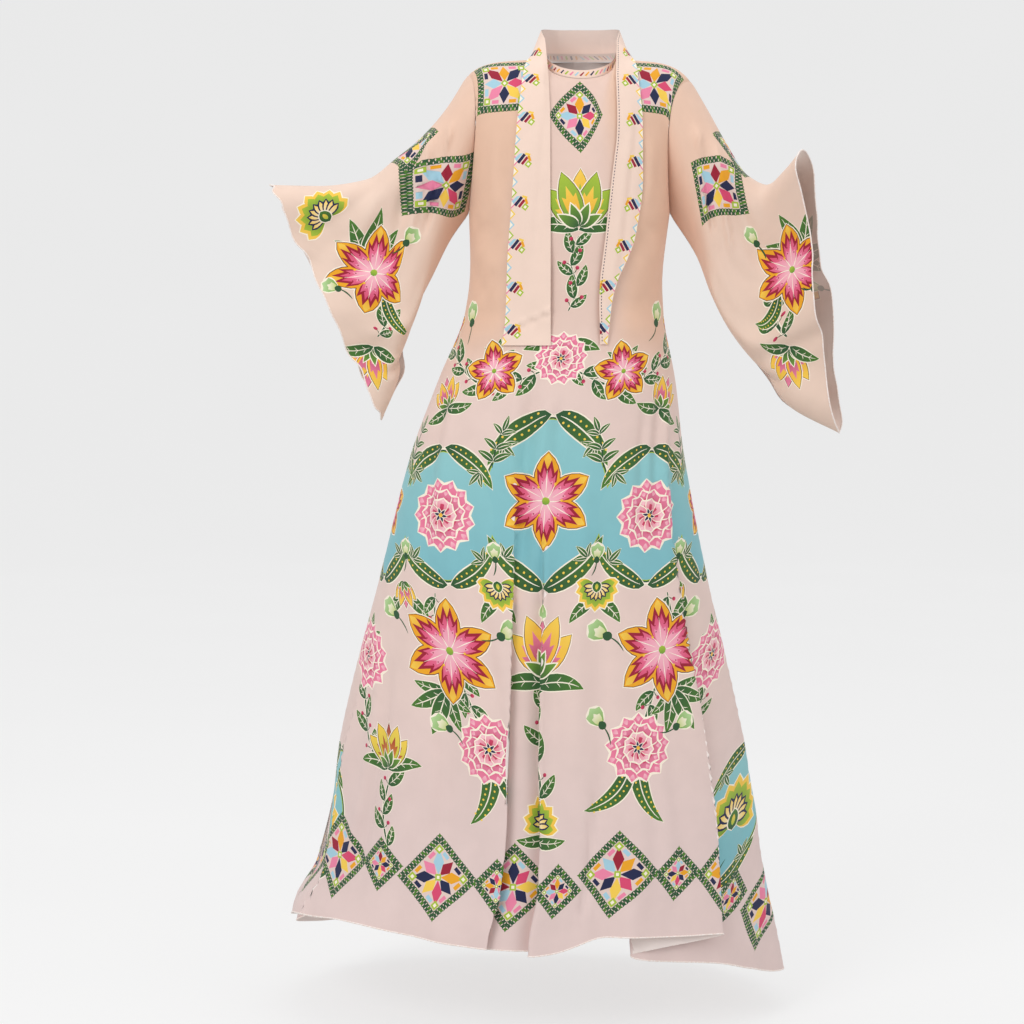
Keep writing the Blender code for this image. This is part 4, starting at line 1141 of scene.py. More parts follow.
def waist_print(seam):
    """A swag of leaves that hangs from the sides to the middle, with flowers on it."""
    parts = []
    for side in (-1, 1):
        wide = abs(seam(side, -480))
        run = [(0.05, -500), (0.42, -532), (0.8, -474), (1.0, -430)]
        parts += garland([(side * wide * u, v) for u, v in run], 42, 22)
        parts += moved(leaf_fan(46), side * 8, by=(side * wide * 0.42, -500))
        parts += moved(star_flower(50, 5, 12), by=(side * wide * 0.42, -506))
        parts += moved(bud(38), side * -16, by=(side * wide * 0.66, -430))
        flower = tulip(46) + moved(leaf_pair(52, 18, 40, 62, ribs=True), 180)
        parts += moved(flower, side * -20, by=(side * wide * 0.74, -566))
        parts += moved(star_flower(40, 5), by=(seam(side, -436), -436))
        parts += moved(leaf_pair(46, 16, 40, 62, ribs=True), 180, by=(seam(side, -470), -470))
    parts += moved(leaf_pair(64, 22, 50, 70, ribs=True), by=(0, -470))
    return parts + moved(dahlia(42), by=(0, -486))


def hip_print(seam):
    """Turquoise medallions all round, with small flowers in the gaps between them."""
    medallions = [(0, -712, 206, 262)]
    for side in (-1, 1):
        wide = seam(side, -735)
        medallions += [(wide * 0.53, -738, 184, 206), (wide, -728, 166, 224)]
    parts = pools(medallions) + moved(star_flower(78, 6, 0), by=(0, -712))
    for side in (-1, 1):
        wide = seam(side, -735)
        parts += moved(dahlia(58), 8, by=(wide * 0.53, -737)) + moved(star_flower(56, 5), by=(wide, -728))
        for share, flower in ((0.27, fan_flower(40)), (0.78, tulip(36))):
            u = wide * share
            parts += moved(spray(60, 18 * side, 3, 32), side * 4, by=(u, -660))
            parts += moved(leaf_pair(58, 20, -40, 66, ribs=True), 180, by=(u * 1.04, -866))
            parts += moved(flower, 180, by=(u * 1.04, -846)) + moved(bud(28), by=(u, -806))
    return parts


def thigh_print(seam):
    """A tall tulip in the middle on a leafy stem, star flowers beside it and dahlias further out."""
    parts = garland([(-2, -1240), (14, -1150), (-10, -1070), (0, -990)], 46, 30)
    parts += moved(leaf_pair(86, 27, 46, 74, ribs=True), by=(0, -1000))
    parts += moved(tulip(86), by=(0, -985)) + moved(bud(32), 180, by=(0, -868))
    for side in (-1, 1):
        wide = abs(seam(side, -960))
        u = side * wide * 0.45
        run = [(4, -860), (14, -905), (2, -960), (-24, -1050), (-46, -1120)]
        parts += garland([(u + side * du, v) for du, v in run], 44, 26)
        parts += moved(leaf_fan(78), side * -150, by=(u + side * 22, -1012))
        parts += moved(star_flower(84, 6, 10 * side), by=(u, -950))
        parts += moved(bud(40), side * 64, by=(u - side * 94, -925))
        parts += moved(bud(38), side * -56, by=(u + side * 92, -900))
        u = side * wide * 0.86
        parts += garland([(u - side * 6, -1120), (u + side * 10, -1050), (u, -975)], 40, 24)
        parts += moved(leaf_fan(56), side * 20, by=(u, -955)) + moved(dahlia(54), by=(u, -968))
        parts += moved(bud(34), by=(seam(side, -880), -880))
    return parts


def low_print(seam):
    """Dahlias between long curling leaves, and fans on turquoise towards the sides."""
    parts = moved(leaf_pair(56, 19, 46, 66, ribs=True), 180, by=(0, -1236))
    parts += moved(fan_flower(48), by=(0, -1216))
    medallions = [(seam(side, -1240) * 0.84, -1228, 156, 196) for side in (-1, 1)]
    parts += pools(medallions)
    for side, (middle, _, _, _) in zip((-1, 1), medallions):
        u = side * abs(seam(side, -1110)) * 0.29
        parts += moved(long_leaf(136, 29, side * 84), side * -206, by=(u + side * 12, -1096))
        parts += moved(long_leaf(124, 27, side * -84), side * 176, by=(u - side * 14, -1112))
        parts += moved(dahlia(54), by=(u, -1100))
        parts += moved(bud(36), side * 40, by=(u - side * 58, -1064))
        parts += moved(bud(34), side * -60, by=(u + side * 66, -1072))
        u = side * abs(seam(side, -1190)) * 0.56
        parts += garland([(u, -1266), (u + side * 12, -1210), (u - side * 4, -1150)], 40, 24)
        parts += moved(leaf_pair(64, 22, 50, 60, ribs=True), by=(u, -1140))
        parts += moved(tulip(60, (LIME, GOLD), (AMBER, CRIMSON)), by=(u, -1136))
        parts += moved(fan_flower(70), side * 8, by=(middle, -1236))
        parts += moved(bud(32), 180, by=(middle, -1320))
    return parts


def hem_chain(edge_u, edge_v):
    """Diamonds, large and small in turn, that touch all along the lower edge of a piece."""
    parts = []
    count = 2 * round((edge_u[-1] - edge_u[0]) / CHAIN_PITCH / 2)
    for k in range(count):
        u = edge_u[0] + (edge_u[-1] - edge_u[0]) * (k + 0.5) / count
        v = np.interp(u, edge_u, edge_v) + CHAIN_ABOVE
        parts += moved(diamond(CHAIN_HALVES[k % 2], shift=k % 5), by=(u, v))
    return parts


def skirt_print(seam):
    """The skirt's print; seam says how far across the seam on a side lies at a height."""
    return waist_print(seam) + hip_print(seam) + thigh_print(seam) + low_print(seam)


def front_print(chart):
    """The print of the front, from the neck down."""

    def seam(side, v):
        edge = -1 if side > 0 else 0
        return np.interp(v, chart.up[edge], chart.across[edge])

    parts = put(chart, diamond(55, shift=2), -3, -99, seen=True)
    for x, z, turn in ((-124, -43, 0), (117, -47, -2)):
        parts += put(chart, star_square(42, shift=1), x, z, turn, seen=True)
    parts += garland([(4, -410), (16, -375), (4, -335), (14, -292)], 38, 20)
    parts += moved(leaf_pair(76, 25, 50, 66, ribs=True), by=(14, -282))
    parts += moved(tulip(80, (MOSS, LIME), (AMBER, GOLD)), by=(14, -276))
    return parts + skirt_print(seam) + hem_chain(chart.across[:, 0], chart.up[:, 0])


def back_print(right, left):
    """The print of the whole back in the flat of its two halves, which meet at zero across."""

    def seam(side, v):
        half, edge = (right, 0) if side < 0 else (left, -1)
        return np.interp(v, half.up[edge], half.across[edge])

    parts = moved(diamond(54, shift=3), by=(0, -170))
    for chart in (right, left):
        for side in (-1, 1):
            parts += put(chart, star_square(42, shift=1), side * 118, -44, facing=1, seen=True)
    parts += garland([(-2, -410), (8, -380), (-8, -350), (0, -320)], 34, 20)
    parts += moved(leaf_pair(62, 20, 50, 66, ribs=True), by=(0, -316))
    parts += moved(tulip(64, (MOSS, LIME), (AMBER, GOLD)), by=(0, -312))
    edge_u = np.concatenate([right.across[:, 0], left.across[1:, 0]])
    edge_v = np.concatenate([right.up[:, 0], left.up[1:, 0]])
    return parts + skirt_print(seam) + hem_chain(edge_u, edge_v)


def on_piece(patches, chart):
    """The patches that reach this piece of cloth."""
    low = np.array([chart.across.min(), chart.up.min()])
    high = np.array([chart.across.max(), chart.up.max()])
    return [
        one for one in patches
        if (one.outline.max(axis=0) > low).all() and (one.outline.min(axis=0) < high).all()
    ]


def sleeve_print(chart, side):
    """The print of a sleeve, the same on its front and back layer.

    Squares lie by the shoulder, a star flower in the middle, a fan and a tulip towards the ends of the
    opening, and leaves between them. Each has its x on the right sleeve, its z and its turn.
    """
    squares = ((star_square(45, shift=2), 220, -207, 4 * side), (star_square(40), 276, -140, 4 * side))
    flowers = (
        (leaf_fan(88), 352, -330, 28 * side),
        (long_leaf(96, 22, side * -80), 318, -380, 176 * side),
        (star_flower(74, 6, 10 * side), 338, -345, 0),
        (fan_flower(52), 414, -256, -50 * side),
        (tulip(56), 338, -470, 170),
        (leaf_pair(56, 20, 40, 62, ribs=True), 338, -466, 170),
        (bud(32), 286, -300, 40 * side),
        (bud(30), 392, -376, -70 * side),
    )
    parts = []
    for facing in (-1, 1):
        for patches, x, z, turn in squares:
            parts += put(chart, patches, side * x, z, turn, facing)
        stem = [(side * x, z) for x, z in ((330, -450), (312, -410), (320, -370), (332, -345))]
        parts += garland([spot(chart, x, z, facing) for x, z in stem], 40, 24)
        for patches, x, z, turn in flowers:
            parts += put(chart, patches, side * x, z, turn, facing)
    return parts


# ------------------------------------------------------------------ cutting and sewing

INNER_UV = 0.5  # where the inside's half of the bake chart begins
STRAIGHT = 1e-3  # mm by which a point may stand off its neighbours' line and still be dropped
THINNEST = 0.02  # mm across, below which a scrap of a patch is dropped
CLOSE_COLUMNS = 0.6  # columns closer than this share of the usual gap follow a fold


def cut_plane(outlines, loose=(), links=()):
    """Points and triangles that follow all outlines and links and take in the loose points.

    Also, for each point the given points it came from, where the loose ones count after the first
    outline, and for each triangle whether it lies in the first outline.
    """
    corners, faces, count = [], [], 0
    for outline in outlines:
        faces.append(list(range(count, count + len(outline))))
        corners.append(outline)
        count += len(outline)
        if count == len(outline) and len(loose):
            corners.append(loose)
            count += len(loose)
    everything = [Vector(point) for point in np.concatenate(corners).tolist()]
    points, _, triangles, origins, _, sources = delaunay_2d_cdt(everything, list(links), faces, 1, 1e-4, True)
    kept = [k for k, corners in enumerate(triangles) if len(corners) == 3]
    first = np.array([0 in sources[k] for k in kept])
    triangles = np.array([triangles[k] for k in kept])
    return np.array([tuple(point) for point in points]), triangles, origins, first


def topmost(points, triangles, patches):
    """The number of the last patch that holds the middle of each triangle, or -1 for none."""
    middles = points[triangles].mean(axis=1)
    result = np.full(len(middles), -1)
    order = np.argsort(middles[:, 0])
    xs = middles[order, 0]
    for number, one in enumerate(patches):
        (x0, y0), (x1, y1) = one.outline.min(axis=0), one.outline.max(axis=0)
        near = order[np.searchsorted(xs, x0) : np.searchsorted(xs, x1)]
        near = near[(middles[near, 1] > y0) & (middles[near, 1] < y1)]
        x, y = middles[near, :1], middles[near, 1:]
        ax, ay = one.outline.T
        bx, by = np.roll(ax, -1), np.roll(ay, -1)
        slope = (bx - ax) / np.where(by == ay, 1, by - ay)
        crossed = ((ay > y) != (by > y)) & (x < ax + (y - ay) * slope)
        result[near[crossed.sum(axis=1) % 2 == 1]] = number
    return result


def runs_of(edges):
    """Closed runs of these edges, none of which meets itself."""
    after = {}
    for a, b in edges:
        after.setdefault(a, []).append(b)
    runs = []
    while after:
        run = [next(iter(after))]
        while run[-1] in after:
            step = after[run[-1]].pop()
            if not after[run[-1]]:
                del after[run[-1]]
            if step in run:
                at = run.index(step)
                runs.append(run[at:])
                run = run[: at + 1]
            else:
                run.append(step)
    return runs


def straightened(outline):
    """An outline without the points that lie on the line between their neighbours."""
    kept = [outline[-1]]
    for (x, y), (next_x, next_y) in zip(outline, outline[1:] + outline[:1]):
        last_x, last_y = kept[-1]
        along_x, along_y = next_x - last_x, next_y - last_y
        aside = abs(along_x * (y - last_y) - along_y * (x - last_x))
        if aside > STRAIGHT * math.hypot(along_x, along_y):
            kept.append((x, y))
    return np.array(kept[1:])


def visible(patches):
    """The outlines of the patches cut down to what later ones leave showing."""
    points, triangles, _, _ = cut_plane([one.outline for one in patches])
    edges = {}
    for corners, number in zip(triangles.tolist(), topmost(points, triangles, patches).tolist()):
        mine = edges.setdefault(number, {})
        for a, b in zip(corners, corners[1:] + corners[:1]):
            if mine.pop((b, a), None) is None:
                mine[a, b] = True
    edges.pop(-1, None)
    result = []
    for number in sorted(edges):
        for run in runs_of(edges[number]):
            outline = straightened(points[run].tolist())
            if len(outline) > 2:
                around = np.linalg.norm(outline - np.roll(outline, 1, axis=0), axis=1).sum()
                if twice_area(outline) > THINNEST * around:
                    result.append(outline)
    return result


def triangulate(chart, rim, inner, outlines=(), links=()):
    """Triangles of a piece that follow both its folds and the outlines of its print.

    rim and inner are places in the chart's grid, the rim in order round the piece.
    """
    places = np.concatenate([rim, inner])
    flat = np.stack([look_up(chart.across, *places.T), look_up(chart.up, *places.T)], axis=1)
    points, triangles, origins, kept = cut_plane([flat[: len(rim)], *outlines], flat[len(rim) :], links)
    used, triangles = np.unique(triangles[kept], return_inverse=True)
    triangles = triangles.reshape(-1, 3)
    points = points[used]
    i, j = grid_places(chart, points)
    source = np.full(len(used), -1)
    for n, k in enumerate(used):
        known = [s for s in origins[k] if s < len(flat)]
        if known:
            source[n] = min(known)
    held = source >= 0
    i[held], j[held] = places[source[held]].T
    points[held] = flat[source[held]]
    return points, np.stack([i, j], axis=1), triangles, source


def grid_of(columns, rows):
    """Rim and inner places of a piece for its columns and rows, and links down its close columns."""
    firsts, seconds = np.meshgrid(columns, rows, indexing="ij")
    places = np.stack([firsts, seconds], axis=-1).reshape(-1, 2)
    number = np.arange(len(places)).reshape(firsts.shape)
    rim = np.concatenate([number[:, 0], number[-1, 1:], number[-2::-1, -1], number[0, -2:0:-1]])
    inner = number[1:-1, 1:-1].ravel()
    rank = np.argsort(np.concatenate([rim, inner]))[number]
    gaps = np.diff(columns)
    close = gaps < CLOSE_COLUMNS * np.median(gaps)
    close = 1 + np.nonzero(close[1:] | close[:-1])[0]
    links = np.stack([rank[close, :-1], rank[close, 1:]], axis=-1).reshape(-1, 2)
    return places[rim], places[inner], links.tolist()


def open_edges(triangles, count):
    """The edges that belong to one triangle, in its direction."""
    pairs = np.concatenate([triangles[:, [0, 1]], triangles[:, [1, 2]], triangles[:, [2, 0]]])
    key = np.sort(pairs, axis=1)
    _, first, times = np.unique(key[:, 0] * count + key[:, 1], return_index=True, return_counts=True)
    return pairs[first[times == 1]]


def in_order(edges):
    """The points of a closed run of edges, one after the other."""
    after = dict(edges.tolist())
    run = [int(edges[0, 0])]
    while after[run[-1]] != run[0]:
        run.append(after[run[-1]])
    return np.array(run)


def dyed(points, triangles, patches, ground):
    """The colour at each corner of each triangle."""
    corners = points[triangles]
    colours = ground(corners.reshape(-1, 2)).reshape(-1, 3, 3)
    if not patches:
        return colours
    near = np.array([p.near for p in patches])
    far = np.array([p.far for p in patches])
    start = np.array([p.start for p in patches])
    way = np.array([p.end for p in patches]) - start
    tops = topmost(points, triangles, patches)
    painted = tops >= 0
    which = tops[painted]
    along = ((corners[painted] - start[which][:, None]) * way[which][:, None]).sum(axis=-1)
    share = np.clip(along / (way[which] ** 2).sum(axis=-1)[:, None], 0, 1)[..., None]
    colours[painted] = near[which][:, None] * (1 - share) + far[which][:, None] * share
    return colours


def new_object(name, data):
    """An object in the scene for a mesh, lamp or camera."""
    made = bpy.data.objects.new(name, data)
    bpy.context.scene.collection.objects.link(made)
    return made


def shell(name, chart, columns, rows, patches, ground, finish, printed_back=True):
    """One piece of cloth as a thin closed shell with its print, which shows paler on the back."""
    rim, inner, links = grid_of(columns, rows)
    flat, places, triangles, _ = triangulate(chart, rim, inner, visible(patches) if patches else (), links)
    colours = dyed(flat, triangles, patches, ground)
    count = len(flat)
    edges = open_edges(triangles, count)
    a, b = edges.T
    if printed_back:
        back_flat, back_places, back = flat, places, triangles
        a_back, b_back = a, b
        pale = colours + (REVERSE - colours) * REVERSE_SHARE
    else:
        run = in_order(edges)
        back_flat, back_places, back, source = triangulate(chart, places[run], inner)
        twin = np.full(count, -1)
        held = (source >= 0) & (source < len(run))
        twin[run[source[held]]] = np.nonzero(held)[0]
        a_back, b_back = twin[a], twin[b]
        pale = np.broadcast_to(REVERSE, (len(back), 3, 3))
    faces = np.concatenate([
        triangles,
        back[:, ::-1] + count,
        np.stack([b, a, a_back + count], axis=1),
        np.stack([b, a_back + count, b_back + count], axis=1),
    ])
    edge = np.broadcast_to(REVERSE, (2 * len(edges), 3, 3))
    colours = np.concatenate([colours, pale[:, ::-1], edge])
    points, ways = look_up(chart.points, *places.T), unit(look_up(chart.ways, *places.T))
    back_points, back_ways = look_up(chart.points, *back_places.T), unit(look_up(chart.ways, *back_places.T))
    depth = CLOTH / 2 if printed_back else CLOTH / 2 + COARSE_DEPTH
    vertices = np.concatenate([points + ways * CLOTH / 2, back_points - back_ways * depth])
    low, size = flat.min(axis=0), np.ptp(flat, axis=0)
    both = np.concatenate([flat, back_flat])
    bake = (0.01 + 0.98 * (both - low) / size) * (1, 0.5)
    bake[count:] += (0, INNER_UV)
    bake = bake[faces]
    bake[len(triangles) + len(back):] = 0.005  # the rim is too thin to need a place of its own
    mesh = bpy.data.meshes.new(name)
    mesh.vertices.add(len(vertices))
    mesh.vertices.foreach_set("co", vertices.ravel())
    mesh.loops.add(3 * len(faces))
    mesh.loops.foreach_set("vertex_index", faces.ravel())
    mesh.polygons.add(len(faces))
    mesh.polygons.foreach_set("loop_start", 3 * np.arange(len(faces)))
    mesh.update(calc_edges=True)
    mesh.shade_smooth()
    for label, values in (("OFBake", bake), ("weave", both[faces])):
        mesh.uv_layers.new(name=label).data.foreach_set("uv", values.ravel())
    paint = mesh.color_attributes.new("print", "FLOAT_COLOR", "CORNER")
    opaque = np.ones(colours.shape[:2] + (1,))
    paint.data.foreach_set("color", np.concatenate([colours, opaque], axis=-1).ravel())
    mesh.normals_split_custom_set_from_vertices(np.concatenate([ways, -back_ways]).tolist())
    mesh.materials.append(finish)
    made = new_object(name, mesh)
    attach(made, "root")
    mesh.validate()
    return made


def tube(name, path, radius, finish, closed=False, sides=8):
    """A round roll or thread along a path."""
    path = np.asarray(path)
    way = np.roll(path, -1, axis=0) - np.roll(path, 1, axis=0) if closed else np.gradient(path, axis=0)
    way = unit(way)
    aside = unit(np.cross(way, np.array([0.0, 0.0, 1.0]) + 0.01))
    up = np.cross(aside, way)
    turn = np.linspace(0, 2 * np.pi, sides, endpoint=False)
    ring = aside[:, None] * np.cos(turn)[:, None] + up[:, None] * np.sin(turn)[:, None]
    vertices = (path[:, None] + ring * radius).reshape(-1, 3)
    count = len(path)
    faces = []
    for i in range(count if closed else count - 1):
        for k in range(sides):
            a, b = i * sides + k, i * sides + (k + 1) % sides
            c, d = (a + sides) % (count * sides), (b + sides) % (count * sides)
            faces.append((a, b, d, c))
    if not closed:
        faces.append(tuple(range(sides))[::-1])
        faces.append(tuple(range((count - 1) * sides, count * sides)))
    mesh = bpy.data.meshes.new(name)
    mesh.from_pydata(vertices.tolist(), [], faces)
    mesh.shade_smooth()
    mesh.materials.append(finish)
    made = new_object(name, mesh)
    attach(made, "root")
    return made


# ------------------------------------------------------------------ finishes

def add(tree, kind, values=None, links=None, **settings):
    """One node with its settings, socket values and links."""
    node = tree.nodes.new(kind)
    for name, value in settings.items():
        setattr(node, name, value)
    for name, value in (values or {}).items():
        node.inputs[name].default_value = value
    for name, source in (links or {}).items():
        tree.links.new(source, node.inputs[name])
    return node


def crepe_material(name):
    """Viscose crepe, plain woven with high-twist yarn and screen printed: matt with a faint bloom."""
    made = bpy.data.materials.new(name)
    made.use_nodes = True
    tree = made.node_tree
    shader = tree.nodes["Principled BSDF"]
    shader.inputs["Roughness"].default_value = 0.78
    shader.inputs["IOR"].default_value = 1.46
    shader.inputs["Sheen Weight"].default_value = 0.18
    shader.inputs["Sheen Roughness"].default_value = 0.45
    shader.inputs["Specular IOR Level"].default_value = 0.3
    dye = add(tree, "ShaderNodeVertexColor", layer_name="print")
    flat = add(tree, "ShaderNodeUVMap", uv_map="weave")
    # Uneven take-up of the dye, in clouds about 40 mm across.
    clouds = add(tree, "ShaderNodeTexNoise", {"Scale": 0.025, "Detail": 3.0}, {"Vector": flat.outputs["UV"]})
    shade = add(
        tree, "ShaderNodeMapRange",
        {"From Min": 0.3, "From Max": 0.7, "To Min": 0.975, "To Max": 1.02}, {"Value": clouds.outputs["Fac"]},
    )
    # Threads 0.25 mm apart on the real cloth, drawn every 1.3 mm so that they show.
    warp = add(
        tree, "ShaderNodeTexWave", {"Scale": 0.242, "Distortion": 0.6, "Detail": 1.0},
        {"Vector": flat.outputs["UV"]}, bands_direction="X",
    )
    weft = add(
        tree, "ShaderNodeTexWave", {"Scale": 0.242, "Distortion": 0.6, "Detail": 1.0},
        {"Vector": flat.outputs["UV"]}, bands_direction="Y",
    )
    threads = add(tree, "ShaderNodeMath", None, None, operation="MULTIPLY")
    tree.links.new(warp.outputs["Fac"], threads.inputs[0])
    tree.links.new(weft.outputs["Fac"], threads.inputs[1])
    # The pebbled grain that the twisted yarn gives crepe, about 1.5 mm.
    grain = add(tree, "ShaderNodeTexNoise", {"Scale": 0.7, "Detail": 2.0}, {"Vector": flat.outputs["UV"]})
    surface = add(tree, "ShaderNodeMath", None, None, operation="ADD")
    tree.links.new(threads.outputs[0], surface.inputs[0])
    tree.links.new(grain.outputs["Fac"], surface.inputs[1])
    bump = add(tree, "ShaderNodeBump", {"Strength": 0.3, "Distance": 0.0002}, {"Height": surface.outputs[0]})
    tone = add(tree, "ShaderNodeVectorMath", None, None, operation="SCALE")
    tree.links.new(dye.outputs["Color"], tone.inputs[0])
    tree.links.new(shade.outputs["Result"], tone.inputs["Scale"])
    tree.links.new(tone.outputs["Vector"], shader.inputs["Base Color"])
    tree.links.new(bump.outputs["Normal"], shader.inputs["Normal"])
    return made


def hem_material():
    """The undyed edge of the cloth rolled over and oversewn with fine thread; its near-white also paints the
    highlight that light puts along the roll.
    """
    made = bpy.data.materials.new("rolled crepe hem with painted highlight")
    made.use_nodes = True
    tree = made.node_tree
    shader = tree.nodes["Principled BSDF"]
    shader.inputs["Roughness"].default_value = 0.7
    shader.inputs["Sheen Weight"].default_value = 0.2
    place = add(tree, "ShaderNodeTexCoord")
    # Oversewing about every 3 mm.
    turns = add(
        tree, "ShaderNodeTexNoise", {"Scale": 330.0, "Detail": 1.0}, {"Vector": place.outputs["Object"]}
    )
    colours = add(tree, "ShaderNodeValToRGB", None, {"Fac": turns.outputs["Fac"]})
    # Pale blush to near white: partly the undyed edge, partly a painted highlight along the roll.
    colours.color_ramp.elements[0].color = (*linear("F0DDD2"), 1)
    colours.color_ramp.elements[0].position = 0.35
    colours.color_ramp.elements[1].color = (*linear("FAF1EC"), 1)
    colours.color_ramp.elements[1].position = 0.65
    bump = add(
        tree, "ShaderNodeBump", {"Strength": 0.5, "Distance": 0.0004}, {"Height": turns.outputs["Fac"]}
    )
    tree.links.new(colours.outputs["Color"], shader.inputs["Base Color"])
    tree.links.new(bump.outputs["Normal"], shader.inputs["Normal"])
    return made


def button_material():
    """Turned shell, polished: pale, with soft cloudy growth lines."""
    made = bpy.data.materials.new("polished shell")
    made.use_nodes = True
    tree = made.node_tree
    shader = tree.nodes["Principled BSDF"]
    shader.inputs["Roughness"].default_value = 0.22
    shader.inputs["IOR"].default_value = 1.55
    shader.inputs["Coat Weight"].default_value = 0.4
    place = add(tree, "ShaderNodeTexCoord")
    lines = add(
        tree, "ShaderNodeTexWave", {"Scale": 90.0, "Distortion": 5.0, "Detail": 2.0},
        {"Vector": place.outputs["Object"]},
    )
    colours = add(tree, "ShaderNodeValToRGB", None, {"Fac": lines.outputs["Fac"]})
    colours.color_ramp.elements[0].color = (*linear("E6D9CB"), 1)
    colours.color_ramp.elements[1].color = (*linear("F6F0EA"), 1)
    tree.links.new(colours.outputs["Color"], shader.inputs["Base Color"])
    return made


def floor_material():
    """Painted studio floor: even, matt and pale."""
    made = bpy.data.materials.new("matt studio paint")
    made.use_nodes = True
    tree = made.node_tree
    shader = tree.nodes["Principled BSDF"]
    shader.inputs["Roughness"].default_value = 0.9
    shader.inputs["Specular IOR Level"].default_value = 0.1
    # A little glow stands for the lamps round the set that keep its shadows faint.
    shader.inputs["Emission Color"].default_value = (1, 1, 1, 1)
    shader.inputs["Emission Strength"].default_value = 0.64
    place = add(tree, "ShaderNodeTexCoord")
    cloud = add(
        tree, "ShaderNodeTexNoise", {"Scale": 1.3, "Detail": 1.0}, {"Vector": place.outputs["Object"]}
    )
    colours = add(tree, "ShaderNodeValToRGB", None, {"Fac": cloud.outputs["Fac"]})
    colours.color_ramp.elements[0].color = (*linear("8C8C8C"), 1)
    colours.color_ramp.elements[1].color = (*linear("909090"), 1)
    tree.links.new(colours.outputs["Color"], shader.inputs["Base Color"])
    return made


# ------------------------------------------------------------------ the dress

def trunk_chart(front, start, end, zero, seams, ripples):
    """The chart of the front or of a back half, from one angle to another."""
    count = GRID_COLUMNS if not front else 2 * GRID_COLUMNS - 1
    angles = np.linspace(start, end, count)
    rises = np.concatenate([np.linspace(0, 1, SKIRT_GRID), np.linspace(1, 2, UPPER_GRID + 1)[1:]])
    points = body(front, *np.meshgrid(angles, rises, indexing="ij"))
    return angles, rises, make_chart(points, zero, seams, ripples, SKIRT_GRID - 1)


def piece_grid(angles, rises, start, end, count, skirt_rows, upper_rows):
    """Columns and rows of a trunk piece, as places in its chart's grid."""
    wanted = spread(start, end, count)
    columns = np.interp(wanted, angles, np.arange(len(angles)))
    above = 1 + ease(np.linspace(0, 1, upper_rows + 1)[1:])
    heights = np.concatenate([np.linspace(0, 1, skirt_rows + 1), above])
    rows = np.interp(heights, rises, np.arange(len(rises)))
    return columns, rows


def blush_ground(flat):
    """The pale ground: warmer on the bodice, most at its sides, where its tan is skin through the sheer cloth
    and painted shade, and cooler towards the hem.
    """
    aside, up = np.abs(flat[:, 0]), flat[:, 1]
    # Tan share: some over the whole bodice, most at its sides, as skin through the cloth and painted shade on
    # the sides that turn from the lamps.
    bodice = ease((up + 560) / 150) * (0.3 + 0.7 * ease((aside - 50) / 70))
    low = ease((-900 - up) / 400)
    ground = BLUSH + (TAN_AND_SIDE_SHADE - BLUSH) * bodice[:, None]
    return ground + (COOL_BLUSH - ground) * low[:, None]


def plain_ground(flat):
    return np.broadcast_to(PALE_BLUSH, (len(flat), 3)).copy()


def sleeve_ground(flat):
    """Warmer by the shoulder than towards the opening."""
    share = ease((flat[:, 1] - 60) / 200)[:, None]
    return SHOULDER_BLUSH * (1 - share) + WARM_BLUSH * share


OPENING_DEPTH = 0.017  # the share of a sleeve's length by which its edge waves to each side
OPENING_WAVES = {  # how many waves round the opening, where they start and their share of the depth
    -1: ((7, 0.4, 0.35), (12, 1.9, 0.4), (19, 0.7, 0.25)),
    1: ((4, 2.4, 0.35), (7, 0.3, 0.25), (11, 1.2, 0.1)),
}


def sleeve_chart(side):
    """The sleeve's form runs round so that its outside is across x along, which differs by side."""
    places = np.linspace(0, 1, SLEEVE_AROUND), np.linspace(0, 1, SLEEVE_ALONG)
    around, along = np.meshgrid(*places, indexing="ij")
    around = around if side < 0 else 1 - around
    wave = sum(
        share * np.cos(turns * 2 * np.pi * around + shift) for turns, shift, share in OPENING_WAVES[side]
    )
    points = sleeve(side, around, along * (1 - OPENING_DEPTH * (1 + wave) * along**3))
    name = "sleeve_left" if side < 0 else "sleeve_right"
    return make_chart(points, SLEEVE_AROUND // 2, ("first", "last", "bottom"), RIPPLES[name])


def finer(grid, columns, rows):
    """A smooth grid through the points of a coarse one."""
    across = np.linspace(0, grid.shape[0] - 1, columns)
    along = np.linspace(0, grid.shape[1] - 1, rows)
    wide = np.stack(
        [
            np.stack([through(np.arange(grid.shape[0]), grid[:, j, k], across) for k in range(3)], axis=1)
            for j in range(grid.shape[1])
        ],
        axis=1,
    )
    return np.stack(
        [
            np.stack([through(np.arange(grid.shape[1]), wide[i, :, k], along) for k in range(3)], axis=1)
            for i in range(columns)
        ],
        axis=0,
    )


def even(count, end):
    """So many places, evenly along a side of a chart's grid that has end points."""
    return np.linspace(0, end - 1, count)


BORDER_PITCH = 68.0  # mm between the groups of bars on the scarf's edge
ZIGZAG_PITCH, ZIGZAG_DEPTH = 17.0, 8.5  # mm
EDGE_STITCH_PITCH, EDGE_STITCH_INSET = 5.0, 3.4  # mm, of the dark stitches along the scarf's inner edge


def bar_group():
    """A fan of small bars round a lime square, opening towards -x."""
    return [
        patch([(-15, -8), (-9, -9.5), (-9, 6.5), (-13, 3)], SKY),
        bar(-5.5, -1.5, 5.2, 17, NAVY), bar(1.2, -1, 4.6, 14, CRIMSON), bar(5.2, 6.4, 4.2, 10, AMBER, 60),
        *box(9.8, -1.6, 9, LIME), bar(-1.5, 9.8, 9, 3.4, GOLD, 20),
    ]


